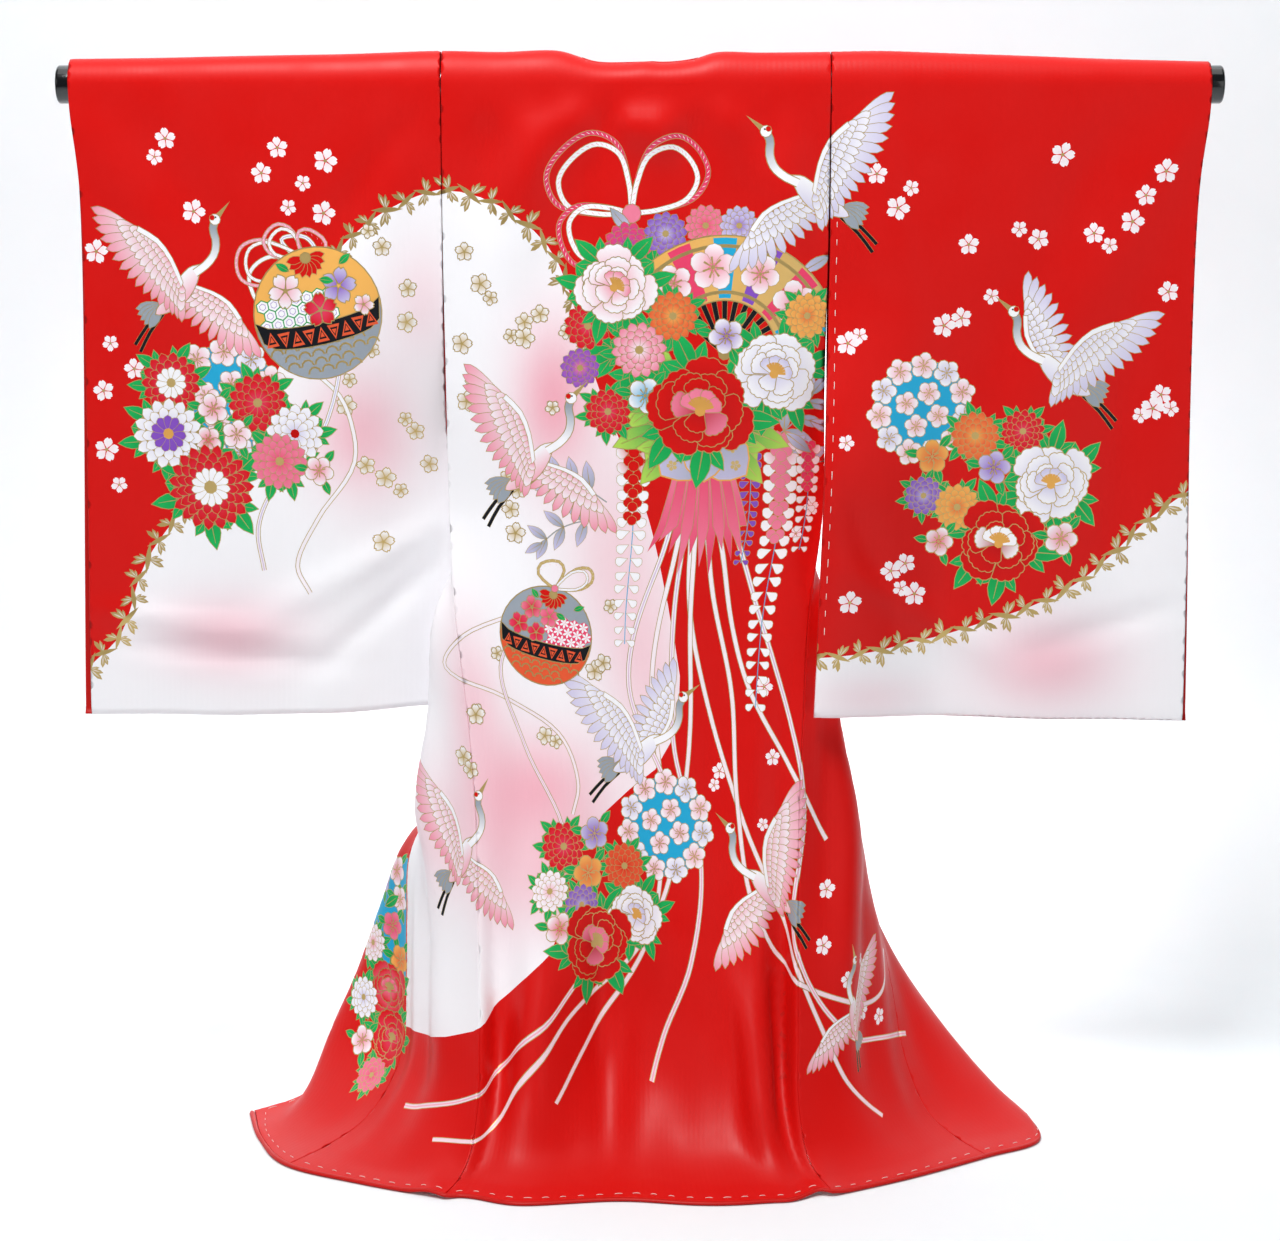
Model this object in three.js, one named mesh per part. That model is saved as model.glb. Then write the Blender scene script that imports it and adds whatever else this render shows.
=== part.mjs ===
// A baby girl's ceremonial kimono, hung by its shoulders and sleeves on a straight lacquered rod, back outwards,
// with the skirt drawn forward and spread over the floor.
// Millimetres, +Z up. The origin is the middle of the rod's axis. +X runs along the rod, and the kimono's back
// faces -Y. Left and right are the wearer's own, so left is -X.
import * as THREE from "three";

// ---- Driving sizes -------------------------------------------------------------------------------------------
const WALL = 2; // outer cloth and lining together
const SEAM = 0.3; // between two pieces that are sewn together
const ROD = { radius: 19, length: 1164, edge: 3, sides: 40 };
const HEM_Z = -1068.7; // middle of the cloth at the hem
const WRAP = 20.6; // from the rod's axis to the middle of the cloth, front and back
const WRAP_ARC = 34.6; // of cloth, from the rod's crest to the height of its axis
const NECK = { half: 54, lead: 5.7, corner: 5 }; // the back neckline stands lead before the rod's crest
const COLLAR = { width: 43, drop: 38, gap: 12, end: -480, clear: 0.9 };
const OKUMI_TOP = -232; // where the overlap panel's point starts
const HEM_ROLL = 6; // the lining's edge stands out this far below the hem

// Height of the cloth's crest over the rod: the shoulder seams stand up, and the neck lies on the rod.
const CREST = [
  { x: -575, z: 24.2 },
  { x: -490, z: 25.2 },
  { x: -390, z: 27.4 },
  { x: -290, z: 29.2 },
  { x: -200, z: 32.2 },
  { x: -140, z: 31.2 },
  { x: -82, z: 32.4 },
  { x: -60, z: 26.4 },
  { x: -43, z: 21.8 },
  { x: -12, z: 21.3 },
  { x: 5, z: 22.8 },
  { x: 20, z: 21.6 },
  { x: 38, z: 22.4 },
  { x: 58, z: 25.6 },
  { x: 77, z: 31 },
  { x: 120, z: 30.6 },
  { x: 190, z: 31.4 },
  { x: 240, z: 32.2 },
  { x: 320, z: 29.6 },
  { x: 370, z: 28 },
  { x: 460, z: 24.6 },
  { x: 575, z: 21.6 },
];

// Where the lines of the body stand at each height, a row for each section. back is the middle of the back
// panel. Then come, outwards from it: the side seam, whose two edges stand slit apart down to the underarm, a
// point halfway round the flank, the overlap panel's seam, its turn, and the front edge.
const BACK = [
  { z: 0, y: -20.6 },
  { z: -165, y: -21 },
  { z: -300, y: -22 },
  { z: -430, y: -24 },
  { z: -533, y: -30 },
  { z: -640, y: -42 },
  { z: -740, y: -60 },
  { z: -800, y: -74 },
  { z: -870, y: -92 },
  { z: -940, y: -117 },
  { z: -1000, y: -150 },
  { z: -1045, y: -192 },
  { z: -1062, y: -228 },
  { z: HEM_Z, y: -268 },
];
// How far apart the side seam's two edges stand, down to the underarm.
const SLIT = [
  { z: 0, gap: 2 * WRAP },
  { z: -165, gap: 32 },
  { z: -300, gap: 22 },
  { z: -430, gap: 0 },
];
const SLIT_END = -430;
const LEFT = [
  { side: [-198, 0], flank: [-150, 20.6], seam: [-59, 20.6], turn: [-57, 20.6], edge: [-55, 20.6] },
  { side: [-198, 0], flank: [-150, 32], seam: [-60, 25], turn: [-58.5, 25.5], edge: [-57, 26] },
  { side: [-196.5, 0], flank: [-152, 50], seam: [-80, 38], turn: [-72, 41], edge: [-61, 37] },
  { side: [-195, 0], flank: [-155, 64], seam: [-90, 52], turn: [-80, 60], edge: [-66, 52] },
  { side: [-188, -28], flank: [-210, -6], seam: [-98, 66], turn: [-92, 88], edge: [-72, 72] },
  { side: [-175, -46], flank: [-220, -5], seam: [-132, 82], turn: [-118, 118], edge: [-90, 102] },
  { side: [-167, -66], flank: [-231, -12], seam: [-207, 86], turn: [-190, 134], edge: [-134, 140] },
  { side: [-165, -82], flank: [-212, -38], seam: [-243, 70], turn: [-252, 106], edge: [-190, 158] },
  { side: [-163, -105], flank: [-205, -55], seam: [-248, 58], turn: [-280, 110], edge: [-240, 162] },
  { side: [-161, -136], flank: [-207, -82], seam: [-248, 32], turn: [-305, 100], edge: [-276, 148] },
  { side: [-161, -172], flank: [-210, -116], seam: [-250, -18], turn: [-332, 66], edge: [-306, 112] },
  { side: [-168, -206], flank: [-236, -164], seam: [-280, -86], turn: [-351, 0], edge: [-334, 64] },
  { side: [-178, -228], flank: [-260, -186], seam: [-318, -128], turn: [-368, -44], edge: [-362, 34] },
  { side: [-189, -255], flank: [-273, -213], seam: [-351, -162], turn: [-388, -85], edge: [-408, 4] },
];
const RIGHT = [
  { side: [190, 0], flank: [145, 20.6], seam: [59, 20.6], turn: [57, 20.6], edge: [55, 20.6] },
  { side: [189, 0], flank: [143, 32], seam: [60, 25], turn: [58.5, 25.5], edge: [57, 26] },
  { side: [187, 0], flank: [144, 50], seam: [76, 38], turn: [69, 41], edge: [60, 37] },
  { side: [187, 2], flank: [148, 64], seam: [86, 52], turn: [77, 60], edge: [64, 52] },
  { side: [172, -24], flank: [196, -4], seam: [90, 68], turn: [84, 90], edge: [70, 72] },
  { side: [166, -44], flank: [206, -4], seam: [122, 86], turn: [108, 120], edge: [84, 102] },
  { side: [162, -64], flank: [224, -10], seam: [197, 90], turn: [182, 136], edge: [128, 140] },
  { side: [161, -80], flank: [231, -20], seam: [227, 72], turn: [214, 110], edge: [172, 158] },
  { side: [160, -104], flank: [222, -56], seam: [252, 44], turn: [247, 96], edge: [218, 158] },
  { side: [159, -134], flank: [218, -80], seam: [266, 22], turn: [285, 86], edge: [262, 146] },
  { side: [158, -170], flank: [222, -112], seam: [276, -24], turn: [331, 54], edge: [308, 108] },
  { side: [165, -204], flank: [238, -154], seam: [297, -72], turn: [377, -6], edge: [358, 60] },
  { side: [175, -226], flank: [260, -174], seam: [324, -104], turn: [404, -50], edge: [386, 24] },
  { side: [186, -247], flank: [268, -196], seam: [349, -135], turn: [408, -88], edge: [404, 0] },
];
const QUARTER = 0.56; // of the way out to the side seam, where the back panel is still flat

// Soft folds of the back panel: across runs -1 to 1 between the side seams, a positive depth is a ridge.
const FOLDS = [
  { across: -0.34, lean: -0.25, width: 0.2, depth: 4, from: -20, to: -420 },
  { across: 0.4, lean: 0.25, width: 0.2, depth: 4, from: -20, to: -420 },
  { across: -0.86, lean: 0, width: 0.16, depth: -20, from: -720, to: -1050 },
  { across: -0.5, lean: -0.05, width: 0.2, depth: 17, from: -640, to: -1066 },
  { across: -0.12, lean: 0.05, width: 0.22, depth: -21, from: -700, to: -1052 },
  { across: 0.26, lean: 0.1, width: 0.24, depth: 14, from: -600, to: -1066 },
  { across: 0.66, lean: 0.12, width: 0.12, depth: 17, from: -760, to: -1062 },
  { across: 0.92, lean: 0, width: 0.14, depth: -22, from: -700, to: -1050 },
];
// Where the hem lifts off the floor in a small arch.
const ARCHES = [
  { x: -203, height: 4, reach: 17 },
  { x: 176, height: 4, reach: 16 },
];

// Sleeves: edges and bottom of each, and how far the body's flank pushes the inner edge back (+) or forward (-).
const SLEEVES = {
  left: {
    inner: [{ z: 34, x: -198 }, { z: -345, x: -198 }, { z: -410, x: -191 }, { z: -640, x: -196 }],
    outer: [{ z: 34, x: -569 }, { z: -20, x: -568 }, { z: -110, x: -560 }, { z: -640, x: -566 }],
    bottom: [{ across: 0, z: -636 }, { across: 0.6, z: -641 }, { across: 1, z: -640 }],
    push: 33,
    far: 7,
  },
  right: {
    inner: [{ z: 34, x: 190 }, { z: -165, x: 190 }, { z: -300, x: 188 }, { z: -430, x: 184 }, { z: -640, x: 176 }],
    outer: [{ z: 34, x: 568 }, { z: -20, x: 568 }, { z: -110, x: 559 }, { z: -640, x: 560 }],
    bottom: [{ across: 0, z: -635 }, { across: 0.6, z: -645 }, { across: 1, z: -647 }],
    push: -48,
    far: 4,
  },
};
const SLEEVE = { waves: 2.6, waveDepth: 2.2, foot: 3.4, pushFrom: -190, pushTo: -425, pushReach: 0.36 };

// ---- Small helpers -------------------------------------------------------------------------------------------
const lerp = THREE.MathUtils.lerp;
const smooth = (value, from, to) => {
  const t = THREE.MathUtils.clamp((value - from) / (to - from), 0, 1);
  return t * t * (3 - 2 * t);
};
const bell = (distance, width) => Math.exp(-((distance / width) ** 2));
const along = (count, power = 1) => Array.from({ length: count + 1 }, (_, i) => (i / count) ** power);

// Reads column `out` of a table at `value` in column `by`, with straight lines between its rows.
function look(table, by, value, out) {
  const rising = table[table.length - 1][by] > table[0][by];
  for (let i = 1; i < table.length; i += 1) {
    const [a, b] = [table[i - 1], table[i]];
    const inside = rising ? value <= b[by] : value >= b[by];
    if (inside || i === table.length - 1) {
      const t = THREE.MathUtils.clamp((value - a[by]) / (b[by] - a[by]), 0, 1);
      return lerp(a[out], b[out], t);
    }
  }
}

// The same table read along a smooth curve.
function flow(table, by, value, out) {
  const curve = new THREE.CatmullRomCurve3(
    table.map((row) => new THREE.Vector3(row[by], row[out], 0)), false, "centripetal");
  let [low, high] = [0, 1];
  const rising = table[table.length - 1][by] > table[0][by];
  for (let i = 0; i < 24; i += 1) {
    const middle = (low + high) / 2;
    if ((curve.getPoint(middle).x < value) === rising) low = middle;
    else high = middle;
  }
  return curve.getPoint((low + high) / 2).y;
}

// A closed wall of cloth through a net of points on its middle surface, rows by columns. A ring joins its last
// row to its first, and has(i, j) tells whether the net's cell below and right of a point is there. What is sewn on
// past an edge makes both walls lean the same way at their seam: beside holds a pair of points for every row,
// above and below a row of points each.
function clothWall(net, { ring = false, has = () => true, beside = null, above = null, below = null } = {}) {
  const rows = net.length;
  const columns = net[0].length;
  const at = (i, j) => {
    if (ring) return net[(i + rows) % rows][THREE.MathUtils.clamp(j, 0, columns - 1)];
    if (i < 0) return above?.[j] ?? net[0][j];
    if (i >= rows) return below?.[j] ?? net[rows - 1][j];
    if (j < 0) return beside?.[i][0] ?? net[i][0];
    if (j >= columns) return beside?.[i][1] ?? net[i][columns - 1];
    return net[i][j];
  };
  const positions = [];
  for (const side of [1, -1]) {
    for (let i = 0; i < rows; i += 1) {
      for (let j = 0; j < columns; j += 1) {
        const down = at(i + 1, j).clone().sub(at(i - 1, j));
        const across = at(i, j + 1).clone().sub(at(i, j - 1));
        const normal = across.cross(down).normalize();
        positions.push(...at(i, j).clone().addScaledVector(normal, (side * WALL) / 2).toArray());
      }
    }
  }
  const there = (i, j) => j >= 0 && j < columns - 1 && (ring || (i >= 0 && i < rows - 1)) && has(i, j);
  const index = [];
  const point = (layer, i, j) => layer * rows * columns + ((i + rows) % rows) * columns + j;
  const quad = (a, b, c, d) => index.push(a, b, c, a, c, d);
  for (let i = 0; i < (ring ? rows : rows - 1); i += 1) {
    for (let j = 0; j < columns - 1; j += 1) {
      if (!there(i, j)) continue;
      quad(point(0, i, j), point(0, i, j + 1), point(0, i + 1, j + 1), point(0, i + 1, j));
      quad(point(1, i, j), point(1, i + 1, j), point(1, i + 1, j + 1), point(1, i, j + 1));
      if (!there(i, j - 1)) quad(point(0, i, j), point(0, i + 1, j), point(1, i + 1, j), point(1, i, j));
      if (!there(i - 1, j)) quad(point(0, i, j), point(1, i, j), point(1, i, j + 1), point(0, i, j + 1));
      const [k, l] = [i + 1, j + 1];
      if (!there(i, j + 1)) quad(point(0, i, l), point(1, i, l), point(1, k, l), point(0, k, l));
      if (!there(i + 1, j)) quad(point(0, k, j), point(0, k, l), point(1, k, l), point(1, k, j));
    }
  }
  const geometry = new THREE.BufferGeometry();
  geometry.setAttribute("position", new THREE.Float32BufferAttribute(positions, 3));
  geometry.setIndex(index);
  return facingOut(geometry);
}

// Turns a closed geometry's faces round if it was wound inside out.
function facingOut(geometry) {
  const p = geometry.attributes.position;
  const index = geometry.index.array;
  const corner = (k) => new THREE.Vector3().fromBufferAttribute(p, index[k]);
  let volume = 0;
  for (let k = 0; k < index.length; k += 3) volume += corner(k).dot(corner(k + 1).cross(corner(k + 2)));
  if (volume < 0) {
    for (let k = 0; k < index.length; k += 3) [index[k + 1], index[k + 2]] = [index[k + 2], index[k + 1]];
  }
  geometry.computeVertexNormals();
  return geometry;
}

function cloth(name, geometry, colour) {
  const material = new THREE.MeshStandardMaterial({ color: colour, roughness: 0.55, metalness: 0 });
  const mesh = new THREE.Mesh(geometry, material);
  mesh.name = name;
  return mesh;
}

// ---- The body ------------------------------------------------------------------------------------------------
const crest = (x) => flow(CREST, "x", x, "z");

// A point of cloth laid over the rod: reach is measured from the crest, positive down the far side.
function overRod(x, reach) {
  const angle = (reach / WRAP_ARC) * (Math.PI / 2);
  return new THREE.Vector3(x, WRAP * Math.sin(angle), crest(x) * Math.cos(angle));
}

// Lines down the garment, through one station of every section.
const line = (points) => new THREE.CatmullRomCurve3(points, false, "centripetal");
const LINES = { middle: line(BACK.map(({ z, y }) => new THREE.Vector3(-4, y, z))), left: {}, right: {} };
for (const station of ["side", "flank", "seam", "turn", "edge"]) {
  for (const [side, rows] of [["left", LEFT], ["right", RIGHT]]) {
    LINES[side][station] = line(rows.map((row, i) => new THREE.Vector3(...row[station], BACK[i].z)));
  }
}

// The point of a line at a height.
function atHeight(curve, z) {
  let [low, high] = [0, 1];
  for (let i = 0; i < 30; i += 1) {
    const middle = (low + high) / 2;
    if (curve.getPoint(middle).z > z) low = middle;
    else high = middle;
  }
  return curve.getPoint((low + high) / 2);
}

function foldDepth(across, z) {
  return FOLDS.reduce((sum, f) => {
    const middle = f.across + f.lean * smooth(z, f.from, f.to);
    const fade = 1 - smooth(z, lerp(f.from, f.to, 0.75), Math.min(f.to, f.from - 60) - 1);
    const grown = smooth(z, f.from, lerp(f.from, f.to, 0.7));
    return sum + f.depth * bell(across - middle, f.width) * grown * (0.35 + 0.65 * fade);
  }, 0);
}

function arch(x, z) {
  return ARCHES.reduce((sum, a) => sum + a.height * bell(x - a.x, a.reach) * smooth(z, -1035, HEM_Z), 0);
}

// Back panel's section at a height, t from 0 at the left side seam to 1 at the right one.
function backPoint(z, t) {
  const [l, m, r] = [LINES.left.side, LINES.middle, LINES.right.side].map((curve) => atHeight(curve, z));
  l.y -= look(SLIT, "z", z, "gap") / 2;
  r.y -= look(SLIT, "z", z, "gap") / 2;
  const quarter = (side) => new THREE.Vector3(lerp(m.x, side.x, QUARTER), lerp(m.y, side.y, 0.12), z);
  const section = new THREE.CatmullRomCurve3([l, quarter(l), m, quarter(r), r], false, "centripetal");
  const point = section.getPoint(t).setZ(z);
  const across = 2 * t - 1;
  const edgeHold = 1 - smooth(Math.abs(across), 0.9, 1);
  point.y -= foldDepth(across, z) * edgeHold;
  point.z += arch(point.x, z);
  return point;
}

// Front and overlap panels' section at a height: s from 0 at the side seam through 1 at the overlap seam to 2 at
// the front edge.
function frontPoint(side, z, s) {
  const stations = ["side", "flank", "seam", "turn", "edge"].map((name) => atHeight(LINES[side][name], z));
  stations[0].y += look(SLIT, "z", z, "gap") / 2;
  const section = new THREE.CatmullRomCurve3(stations, false, "centripetal");
  const point = section.getPoint(s / 2).setZ(z);
  point.z += arch(point.x, z);
  return point;
}

const HEIGHTS = [
  0, -22, -60, -110, -165, -230, -300, -365, -430, -480, -533, -590, -640, -690, -740, -785, -830, -870, -905, -940,
  -970, -1000, -1024, -1042, -1054, -1062, HEM_Z,
];
const FRONT_COLUMNS = along(9);
const OVERLAP_COLUMNS = along(7).map((t) => 1 + t);
// The back panel's columns stand at these places along the rod.
const BACK_COLUMNS = [
  -186, -174, -162, -148, -132, -114, -96, -79, -61, -55, -37, -18, 0, 18, 37, 55, 61, 77, 93, 110, 128, 144, 158,
  170, 180,
].map((x) => {
  let [low, high] = [0, 1];
  for (let i = 0; i < 30; i += 1) {
    const middle = (low + high) / 2;
    if (backPoint(0, middle).x < x) low = middle;
    else high = middle;
  }
  return (low + high) / 2;
});
BACK_COLUMNS.unshift(0);
BACK_COLUMNS.push(1);

const backRow = (z) => BACK_COLUMNS.map((t) => backPoint(z, t));
// Rows run round the body from the left front edge to the right one.
const roundBody = (side, items) => (side === "left" ? [...items].reverse() : items);
const frontRow = (side, z, columns) => roundBody(side, columns.map((s) => frontPoint(side, z, s)));
const OVER_ROD = [1, 0.8, 0.6, 0.4, 0.2, 0];

// Where a row of hem points goes on to: level, straight out from the row above it.
function outward(hem, before, distance) {
  return hem.map((point, k) => {
    const out = point.clone().sub(before[k]).setZ(0).normalize();
    return point.clone().addScaledVector(out, distance);
  });
}

// A panel of rows at the given heights, whose ends are seams where past(z) gives the next points on the pieces
// beyond them, and edges where it gives null. The panel's own ends are taken in by half a seam, its hem's neighbour is the hem roll.
function sewn(net, heights, past, above) {
  const beside = heights.map(past);
  const moved = net.map((row, i) => {
    const points = row.map((point) => point.clone());
    const takeIn = (end, inner, outer) => {
      if (outer) points[end].addScaledVector(row[inner].clone().sub(outer).normalize(), SEAM / 2);
    };
    takeIn(0, 1, beside[i][0]);
    takeIn(row.length - 1, row.length - 2, beside[i][1]);
    return points;
  });
  const [before, hem] = moved.slice(-2);
  return clothWall(moved, { beside, above, below: outward(hem, before, HEM_ROLL) });
}

function backPanel() {
  const atRod = backRow(0);
  const reachAt = (x, share) => {
    const neck = 1 - smooth(Math.abs(x), NECK.half + 1.5, NECK.half + 6.5);
    return -lerp(lerp(SEAM / 2, NECK.lead + SEAM, neck), WRAP_ARC, share);
  };
  const overTop = OVER_ROD.map((share) => atRod.map(({ x }) => overRod(x, reachAt(x, 1 - share))));
  const beyond = (side, z) => (z <= SLIT_END ? frontPoint(side, z, FRONT_COLUMNS[1]) : null);
  return sewn(
    [...overTop.slice(0, -1), ...HEIGHTS.map(backRow)],
    [...OVER_ROD.slice(1).fill(0), ...HEIGHTS],
    (z) => [beyond("left", z), beyond("right", z)],
    atRod.map(({ x }) => overRod(x, reachAt(x, 0) + WRAP_ARC / 5)));
}

function frontPanel(side) {
  const atRod = frontRow(side, 0, FRONT_COLUMNS);
  const overTop = OVER_ROD.map((share) => atRod.map(({ x }) => overRod(x, lerp(WRAP_ARC, SEAM / 2, share))));
  const nextOnBack = side === "left" ? BACK_COLUMNS[1] : BACK_COLUMNS[BACK_COLUMNS.length - 2];
  return sewn(
    [...overTop.slice(0, -1), ...HEIGHTS.map((z) => frontRow(side, z, FRONT_COLUMNS))],
    [...OVER_ROD.slice(1).fill(0), ...HEIGHTS],
    (z) => roundBody(side, [
      z <= SLIT_END ? backPoint(z, nextOnBack) : null,
      z < OKUMI_TOP ? frontPoint(side, z, OVERLAP_COLUMNS[1]) : null,
    ]),
    atRod.map(({ x }) => overRod(x, -WRAP_ARC / 5)));
}

function overlapPanel(side) {
  const heights = [OKUMI_TOP, ...HEIGHTS.filter((z) => z < OKUMI_TOP)];
  return sewn(heights.map((z) => frontRow(side, z, OVERLAP_COLUMNS)), heights, (z) => roundBody(side, [
    frontPoint(side, z, FRONT_COLUMNS[FRONT_COLUMNS.length - 2]),
    null,
  ]));
}

// The collar: a band over the rod at the back of the neck, that parts in front and runs down both front edges.
function collar() {
  const half = along(4);
  const acrossFrom = (left, right) => {
    const sides = [left, right].map((x, k) => half.map((t) => x + (k ? -1 : 1) * (SEAM + COLLAR.width * t)));
    return [...sides[0], ...[-COLLAR.gap / 2, COLLAR.gap / 2], ...sides[1].reverse()];
  };
  const edges = (z) => ["left", "right"].map((side) => {
    const edge = frontPoint(side, z, z > OKUMI_TOP ? 1 : 2);
    edge.x -= z > OKUMI_TOP ? 0 : Math.sign(edge.x) * COLLAR.clear;
    return edge;
  });
  const reaches = [-NECK.lead, ...OVER_ROD.slice(0, -1).map((share) => lerp(WRAP_ARC, SEAM / 2, share))];
  const neck = reaches.map((reach) =>
    acrossFrom(...edges(0).map(({ x }) => x - Math.sign(x) * (reach < 0 ? NECK.corner : 0)))
      .map((x) => overRod(x, reach)));
  const heights = [0, -22, -COLLAR.drop, -60, -110, -165, OKUMI_TOP + 6, OKUMI_TOP, -300, -365, -430, COLLAR.end];
  const front = heights.map((z) => {
    const [left, right] = edges(z);
    return acrossFrom(left.x, right.x).map((x) => new THREE.Vector3(x, (x < 0 ? left : right).y, z));
  });
  const parted = neck.length + heights.indexOf(-COLLAR.drop);
  return clothWall([...neck, ...front], { has: (i, j) => i < parted || j < 4 || j > 6 });
}

// The hem roll: the lining's edge, let out below the hem all the way round.
function hemRoll() {
  const row = (z) => [
    ...frontRow("left", z, [...FRONT_COLUMNS, ...OVERLAP_COLUMNS.slice(1)]),
    ...backRow(z).slice(1, -1),
    ...frontRow("right", z, [...FRONT_COLUMNS, ...OVERLAP_COLUMNS.slice(1)]),
  ];
  const [before, hem] = HEIGHTS.slice(-2).map(row);
  return clothWall([SEAM, HEM_ROLL].map((distance) => outward(hem, before, distance)), { above: before });
}

// ---- The sleeves ---------------------------------------------------------------------------------------------
// A point of a sleeve: across from 0 at the inner edge to 1 at the cuff, layer -1 on the kimono's back, 1 in front.
function sleevePoint(side, across, layer, z) {
  const plan = SLEEVES[side];
  const bottom = flow(plan.bottom, "across", across, "z");
  const cuff = flow(plan.outer, "z", z, "x")
    + Math.sign(plan.outer[0].x) * (layer > 0 ? plan.far * smooth(z, 0, -110) : 0);
  const opening = look(plan.inner, "z", z, "x") + Math.sign(plan.outer[0].x) * 2 * SEAM;
  const x = lerp(opening, cuff, across);
  const half = lerp(WRAP, SLEEVE.foot, THREE.MathUtils.clamp(z / bottom, 0, 1));
  const push = plan.push * smooth(z, SLEEVE.pushFrom, SLEEVE.pushTo) * (1 - smooth(across, 0, SLEEVE.pushReach));
  const hang = smooth(z, -60, -420) * (0.4 + 0.6 * smooth(across, 0, 0.3));
  const wave = SLEEVE.waveDepth * Math.sin(2 * Math.PI * (SLEEVE.waves * across + 0.15)) * hang;
  return new THREE.Vector3(x, layer * half + push + wave, z);
}

function sleeve(side) {
  const columns = along(14);
  const bottoms = columns.map((across) => flow(SLEEVES[side].bottom, "across", across, "z"));
  const shares = [1, 0.93, 0.86, 0.78, 0.7, 0.62, 0.54, 0.46, 0.38, 0.3, 0.22, 0.14, 0.07, 0];
  const layer = (sign) => shares.map((share) => columns.map((across, j) =>
    sleevePoint(side, across, sign, share * (bottoms[j] + SLEEVE.foot))));
  const overTop = [-0.75, -0.5, -0.25, 0, 0.25, 0.5, 0.75].map((share) => columns.map((across) =>
    overRod(sleevePoint(side, across, -1, 0).x, share * WRAP_ARC)));
  const foot = [0.5].map(() => columns.map((across, j) => {
    const low = sleevePoint(side, across, 0, bottoms[j] + SLEEVE.foot);
    return low.setZ(bottoms[j]);
  }));
  return clothWall([...layer(-1), ...overTop, ...layer(1).reverse(), ...foot], { ring: true });
}

// ---- The rod -------------------------------------------------------------------------------------------------
function rod() {
  const end = ROD.length / 2;
  const rounded = (sign) => along(4).map((t) => {
    const angle = (t * Math.PI) / 2;
    return new THREE.Vector2(
      ROD.radius - ROD.edge + ROD.edge * Math.sin(angle),
      sign * (end - ROD.edge + ROD.edge * Math.cos(angle)));
  });
  const profile = [
    new THREE.Vector2(0, -end),
    ...rounded(-1),
    ...rounded(1).reverse(),
    new THREE.Vector2(0, end),
  ];
  const geometry = new THREE.LatheGeometry(profile, ROD.sides);
  geometry.rotateZ(-Math.PI / 2);
  const material = new THREE.MeshStandardMaterial({ color: 0x0b0d10, roughness: 0.2, metalness: 0 });
  const mesh = new THREE.Mesh(geometry, material);
  mesh.name = "rod";
  return mesh;
}

// ---- The whole -----------------------------------------------------------------------------------------------
const RED = 0xd2120f;
const WHITE = 0xf6eef2;
const kimono = new THREE.Group();
kimono.add(
  cloth("back_panel", backPanel(), RED),
  cloth("front_left", frontPanel("left"), RED),
  cloth("front_right", frontPanel("right"), RED),
  cloth("overlap_left", overlapPanel("left"), RED),
  cloth("overlap_right", overlapPanel("right"), RED),
  cloth("collar", collar(), RED),
  cloth("hem_roll", hemRoll(), RED),
  cloth("sleeve_left", sleeve("left"), WHITE),
  cloth("sleeve_right", sleeve("right"), RED),
  rod(),
);
export default kimono;
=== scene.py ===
"""A baby girl's ceremonial kimono of printed silk, hung back outwards on a lacquered rod.

Lengths are in millimetres until a piece becomes a mesh. Every panel has a flat cut, in which its print
is drawn: across is counted from the middle of the back, and down from the top of the rod along the cloth.
"""

import math

import bpy
import numpy as np
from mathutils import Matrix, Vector
from mathutils.geometry import delaunay_2d_cdt


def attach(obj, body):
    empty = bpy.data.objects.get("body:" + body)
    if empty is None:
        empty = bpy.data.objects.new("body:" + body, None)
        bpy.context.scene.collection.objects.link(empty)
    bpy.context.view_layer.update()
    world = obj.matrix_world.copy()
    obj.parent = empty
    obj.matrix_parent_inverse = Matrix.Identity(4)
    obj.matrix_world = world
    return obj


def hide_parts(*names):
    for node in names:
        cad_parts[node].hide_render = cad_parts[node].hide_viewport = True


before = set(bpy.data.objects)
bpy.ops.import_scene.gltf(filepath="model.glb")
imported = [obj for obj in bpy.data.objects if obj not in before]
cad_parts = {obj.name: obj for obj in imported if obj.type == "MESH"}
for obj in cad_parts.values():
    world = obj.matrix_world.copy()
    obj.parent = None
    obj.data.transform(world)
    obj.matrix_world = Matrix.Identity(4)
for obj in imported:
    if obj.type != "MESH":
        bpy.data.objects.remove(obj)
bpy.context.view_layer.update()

MM = 0.001
CLOTH = 1.9  # outer silk, interlining and lining
SEAM = 0.3
THREAD_PITCH = 0.9
EDGE_ROUND = 1.3  # how far in from a seam or a fold the cloth thins away round the turned edge
WRAP = 20.6  # from the rod's axis to the middle of the cloth, front and back
WRAP_ARC = 34.6  # of cloth from the rod's crest to the height of its axis
HEM_Z = -1068.7
ROD_RADIUS = 19
ROD_LENGTH = 1164
BOLT = 194  # half the width of the back: one bolt of cloth makes it
FRONT_WIDTH = 190
SLEEVE_WIDTH = 372
OVERLAP_TOP = -232
NECK = {"half": 54, "lead": 6}
ROLL = {"out": 3.2, "up": 1.9, "rise": 0.7}  # half sizes of the padded hem
SIGN = {"left": -1, "right": 1}
COLLAR = {"width": 43, "drop": 38, "end": -480, "clear": 0.9}

# ---- Curves and tables ---------------------------------------------------------------------------


def table(columns, *rows):
    """A table as a dict of arrays, one for each named column."""
    return dict(zip(columns.split(), np.array(rows, float).T))


def ease(value, start, end):
    t = np.clip((np.asarray(value, float) - start) / (end - start), 0, 1)
    return t * t * (3 - 2 * t)


def bell(distance, width):
    return np.exp(-((distance / width) ** 2))


def mix(a, b, t):
    return a + (b - a) * t


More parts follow.
